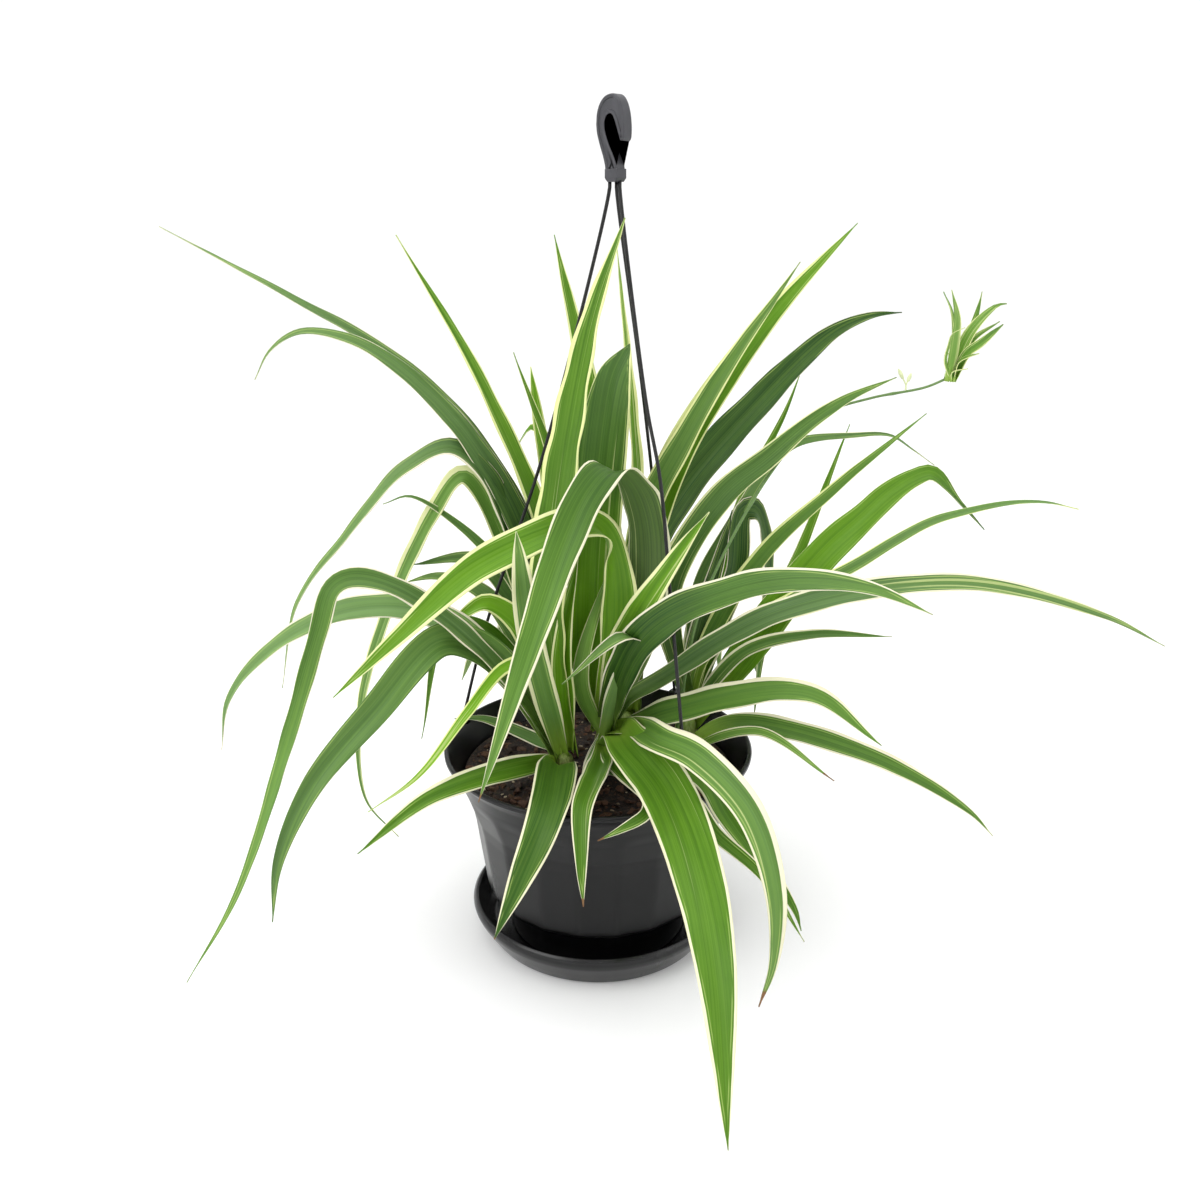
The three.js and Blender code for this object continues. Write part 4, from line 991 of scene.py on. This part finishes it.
STEM_FROM_Z = 90
STEM_SIDE = [(7.5, 17), (6.4, 12), (4.4, 7), (0, 4)]  # radius, and how far below the neck
STEM_LOBES, STEM_LOBE_DEPTH, STEM_TWIST = 3, 0.07, 160
STEM_VEINS, STEM_VEIN_DEPTH = 17, 0.02


def make_stem(crown):
    """The short stem of a rosette: clasping leaf bases round a core, narrower at the neck."""
    node, (x, y, top), _ = CROWNS[crown]
    at = placed((x, y, 0))
    side = [(r, top - below) for r, below in STEM_SIDE]
    profile = [(0, STEM_FROM_Z), (STEM_SIDE[0][0], STEM_FROM_Z), *side]
    bm = turned(finer(rounded(profile, radius=1.5), 0.002), steps=48)
    for v in bm.verts:
        bearing = math.atan2(v.co.y, v.co.x)
        lobe = math.sin(STEM_LOBES * bearing + v.co.z * STEM_TWIST + x)
        vein = math.sin(STEM_VEINS * bearing)
        clasp = 1 + STEM_LOBE_DEPTH * lobe + STEM_VEIN_DEPTH * vein
        v.co = Vector((v.co.x * clasp, v.co.y * clasp, v.co.z)) + at
    finish = BROWN_STEM if crown == "front" else GREEN_STEM
    finish_piece(f"stem_{crown}", bm, finish, [node])


def make_crown(crown, seed):
    make_stem(crown)
    _, neck, leaves = CROWNS[crown]
    for order, leaf in enumerate([*leaves, *rear_leaves(crown)]):
        bm = make_blade(neck, leaf, order, seed + order)
        finish_piece(f"leaf_{crown}_{leaf[0]}", bm, LEAF)


# The runner, with its pods and its plantlet, as in the part's source but for wider young leaves
# and one longer pod. Points and lengths are in millimetres, radii in metres.
RUNNER_PATH = [
    (52, 18, 90), (52, 18, 122), (55, 18, 150), (66, 22, 215), (100, 44, 282), (130, 66, 318),
    (150, 75, 335), (180, 75, 345), (215, 75, 352), (229, 75, 358),
]
RUNNER_R = 0.0011
RUNNER_THINS = 0.25
JOINTS = (0.34, 0.56, 0.74, 0.9)
JOINT_SPREAD = 0.008
JOINT_SWELL = 0.35
POD_FOOT = (202, 75, 349)
POD_FORK = (202, 75, 353)
POD_STALK_R = 0.0005
POD_R = 0.00125
POD_TIP_R = 0.0002
PODS = [((198, 75, 360.5), 4), ((204, 76, 358), 3.2)]  # where each is, and half its length
PLANTLET_AT = (229.5, 75, 360)
YOUNG_LOOK = look((1, 0.6, 0.35), (1.1, 0.8, 0.4), (1.1, 0.8, 0.4), 0.8, 0.15, 0.8)
PLANTLET = [
    ("young_1", 6, 20, 2, [(1, -1, 11), (1, -4, 27), (0, -6, 37), (-6, -8, 54)]),
    ("young_2", 4, 0, 2, [(2, 3, 19), (0, 6, 39), (-6, 9, 52)]),
    ("young_3", 4, 30, 2, [(-4, -3, 9), (-4, -7, 20), (-3, -9, 27), (4, -11, 31)]),
    ("young_4", 5.5, 40, 2, [(8, 3, 16), (14, 7, 28), (19, 11, 46), (20, 12, 52)]),
    ("young_5", 8, 50, 2.4, [(6, 1, 14), (13, 1, 30), (27, 1, 44), (33, 1, 45)]),
    ("young_6", 8, 50, 2.4, [(9, -3, 14), (16, -7, 21), (28, -11, 33)]),
    ("young_7", 4.5, 40, 2, [(14, 5, 21), (34, 13, 33)]),
    ("young_8", 6, 30, 2, [(4, -5, 9), (9, -10, 13), (14, -13, 15)]),
    ("young_9", 5, 0, 2, [(2, -3, 2), (9, -9, 5)]),
    ("young_10", 4, 0, 2, [(2, 5, 7), (1, 9, 13)]),
]


def runner_radius(share):
    """Thinner towards its tip, and thicker at its joints."""
    joint = max(math.exp(-(((share - at) / JOINT_SPREAD) ** 2)) for at in JOINTS)
    return RUNNER_R * (1 - RUNNER_THINS * share) * (1 + JOINT_SWELL * joint)


def pod_radius(share):
    return POD_TIP_R + POD_R * math.sin(math.pi * share) ** 0.7 * (1 - 0.2 * share)


def make_pod(number, at, half):
    """A small pod on its own stalk: half is half its length in millimetres."""
    through = [placed(p) for p in (POD_FOOT, POD_FORK, at)]
    stalk, _ = even_points(curve_points(through), count=14)
    tip, side = through[-1], Vector((0.3, 1, 0.1))
    out = (tip - stalk[-3]).normalized() * MM * half
    pod, _ = even_points([tip - out, tip + out], count=20)
    stalk = tube(stalk, POD_STALK_R, 8, side)
    finish_piece(f"pod_stalk_{number}", stalk, POD_SKIN)
    finish_piece(f"pod_{number}", tube(pod, pod_radius, 12, side), POD_SKIN)


def make_plantlet():
    middle = placed(PLANTLET_AT)
    heart = bmesh.new()
    bmesh.ops.create_icosphere(
        heart, subdivisions=3, radius=0.0028, matrix=Matrix.Translation(middle)
    )
    for v in heart.verts:
        v.co += (v.co - middle) * 0.2 * noise.noise(v.co * 900)
    finish_piece("plantlet_heart", heart, POD_SKIN)
    for order, (name, width, roll, taper, through) in enumerate(PLANTLET):
        leaf = (name, width, roll, taper, YOUNG_LOOK, through)
        bm = make_blade(PLANTLET_AT, leaf, 0, 700 + order)
        finish_piece(f"plantlet_{name}", bm, LEAF)


def make_runner():
    path, _ = even_points(curve_points([placed(p) for p in RUNNER_PATH]), count=110)
    side = Vector((0, 0, 1)).cross(path[-1] - path[0])
    bm = tube(path, runner_radius, sides=12, reference=side)
    finish_piece("runner_stalk", bm, RUNNER_SKIN, ["runner"])
    for number, (at, half) in enumerate(PODS, 1):
        make_pod(number, at, half)
    make_plantlet()


# --------------------
# The object

make_saucer()
make_pot()
make_potting_mix()
make_bits("bark_bits", 620, (0.002, 0.009), BARK, 11)
make_bits("pale_grains", 140, (0.0015, 0.0035), GRAIN, 23)
make_hook()
for strand in STRANDS:
    make_strand(strand)
for number, crown_name in enumerate(CROWNS):
    make_crown(crown_name, 100 * (number + 1))
make_runner()


# --------------------
# Floor, light and camera

FLOOR_R, FLOOR_SWEEP_R, FLOOR_WALL_TOP = 4, 2, 4
LIGHTS = {  # where each is, as seen from the plant's front, its size and its power
    "window_light": ((-1500, -1100, 1700), 1.6, 22),
    "side_light": ((1700, -700, 1000), 1.4, 5),
    "top_light": ((0, 300, 2300), 2.0, 12),
}
LIGHTS_AIM = Vector((0, 0, 0.25))
CAMERA_AT = (1.3, -656, 448)
CAMERA_PITCH = math.radians(18.4)
CAMERA_LENS = 33.09


def make_floor():
    """A round paper floor that sweeps up into a wall a long way off."""
    sweep = [
        (FLOOR_R + FLOOR_SWEEP_R * math.sin(t), FLOOR_SWEEP_R * (1 - math.cos(t)))
        for t in [k * math.pi / 32 for k in range(17)]
    ]
    bm = turned([(0, 0), *sweep, (FLOOR_R + FLOOR_SWEEP_R, FLOOR_WALL_TOP)], steps=96)
    bmesh.ops.reverse_faces(bm, faces=bm.faces)
    paper = Finish("pale_paper")
    looks = {"Base Color": (0.95, 0.95, 0.95, 1), "Roughness": 0.9, "Specular IOR Level": 0.1}
    paper.plug(paper.shader, looks)
    floor = new_object("pale_floor", bm, paper.material)


def soft_light(name, at, size, power):
    lamp = bpy.data.lights.new(name, "AREA")
    lamp.shape = "SQUARE"
    lamp.size = size
    lamp.energy = power
    light = in_scene(name, lamp)
    light.location = at
    light.rotation_euler = (LIGHTS_AIM - at).to_track_quat("-Z", "Y").to_euler()


make_floor()
for light_name, (light_at, light_size, light_power) in LIGHTS.items():
    soft_light(light_name, placed(light_at), light_size, light_power)

world = bpy.data.worlds.new("pale_room")
world.use_nodes = True
air = world.node_tree.nodes["Background"].inputs
air["Color"].default_value = (1, 1, 1, 1)
air["Strength"].default_value = 1.12
bpy.context.scene.world = world
bpy.context.scene.view_settings.view_transform = "Standard"

# The camera stands at the photograph's place: at the plant's front, looking a little down.
lens = bpy.data.cameras.new("photograph_view")
lens.sensor_width = 36
lens.lens = CAMERA_LENS
camera = in_scene("photograph_view", lens)
camera.location = placed(CAMERA_AT)
ahead = placed((0, 1000 * math.cos(CAMERA_PITCH), -1000 * math.sin(CAMERA_PITCH)))
camera.rotation_euler = ahead.to_track_quat("-Z", "Y").to_euler()
bpy.context.scene.camera = camera
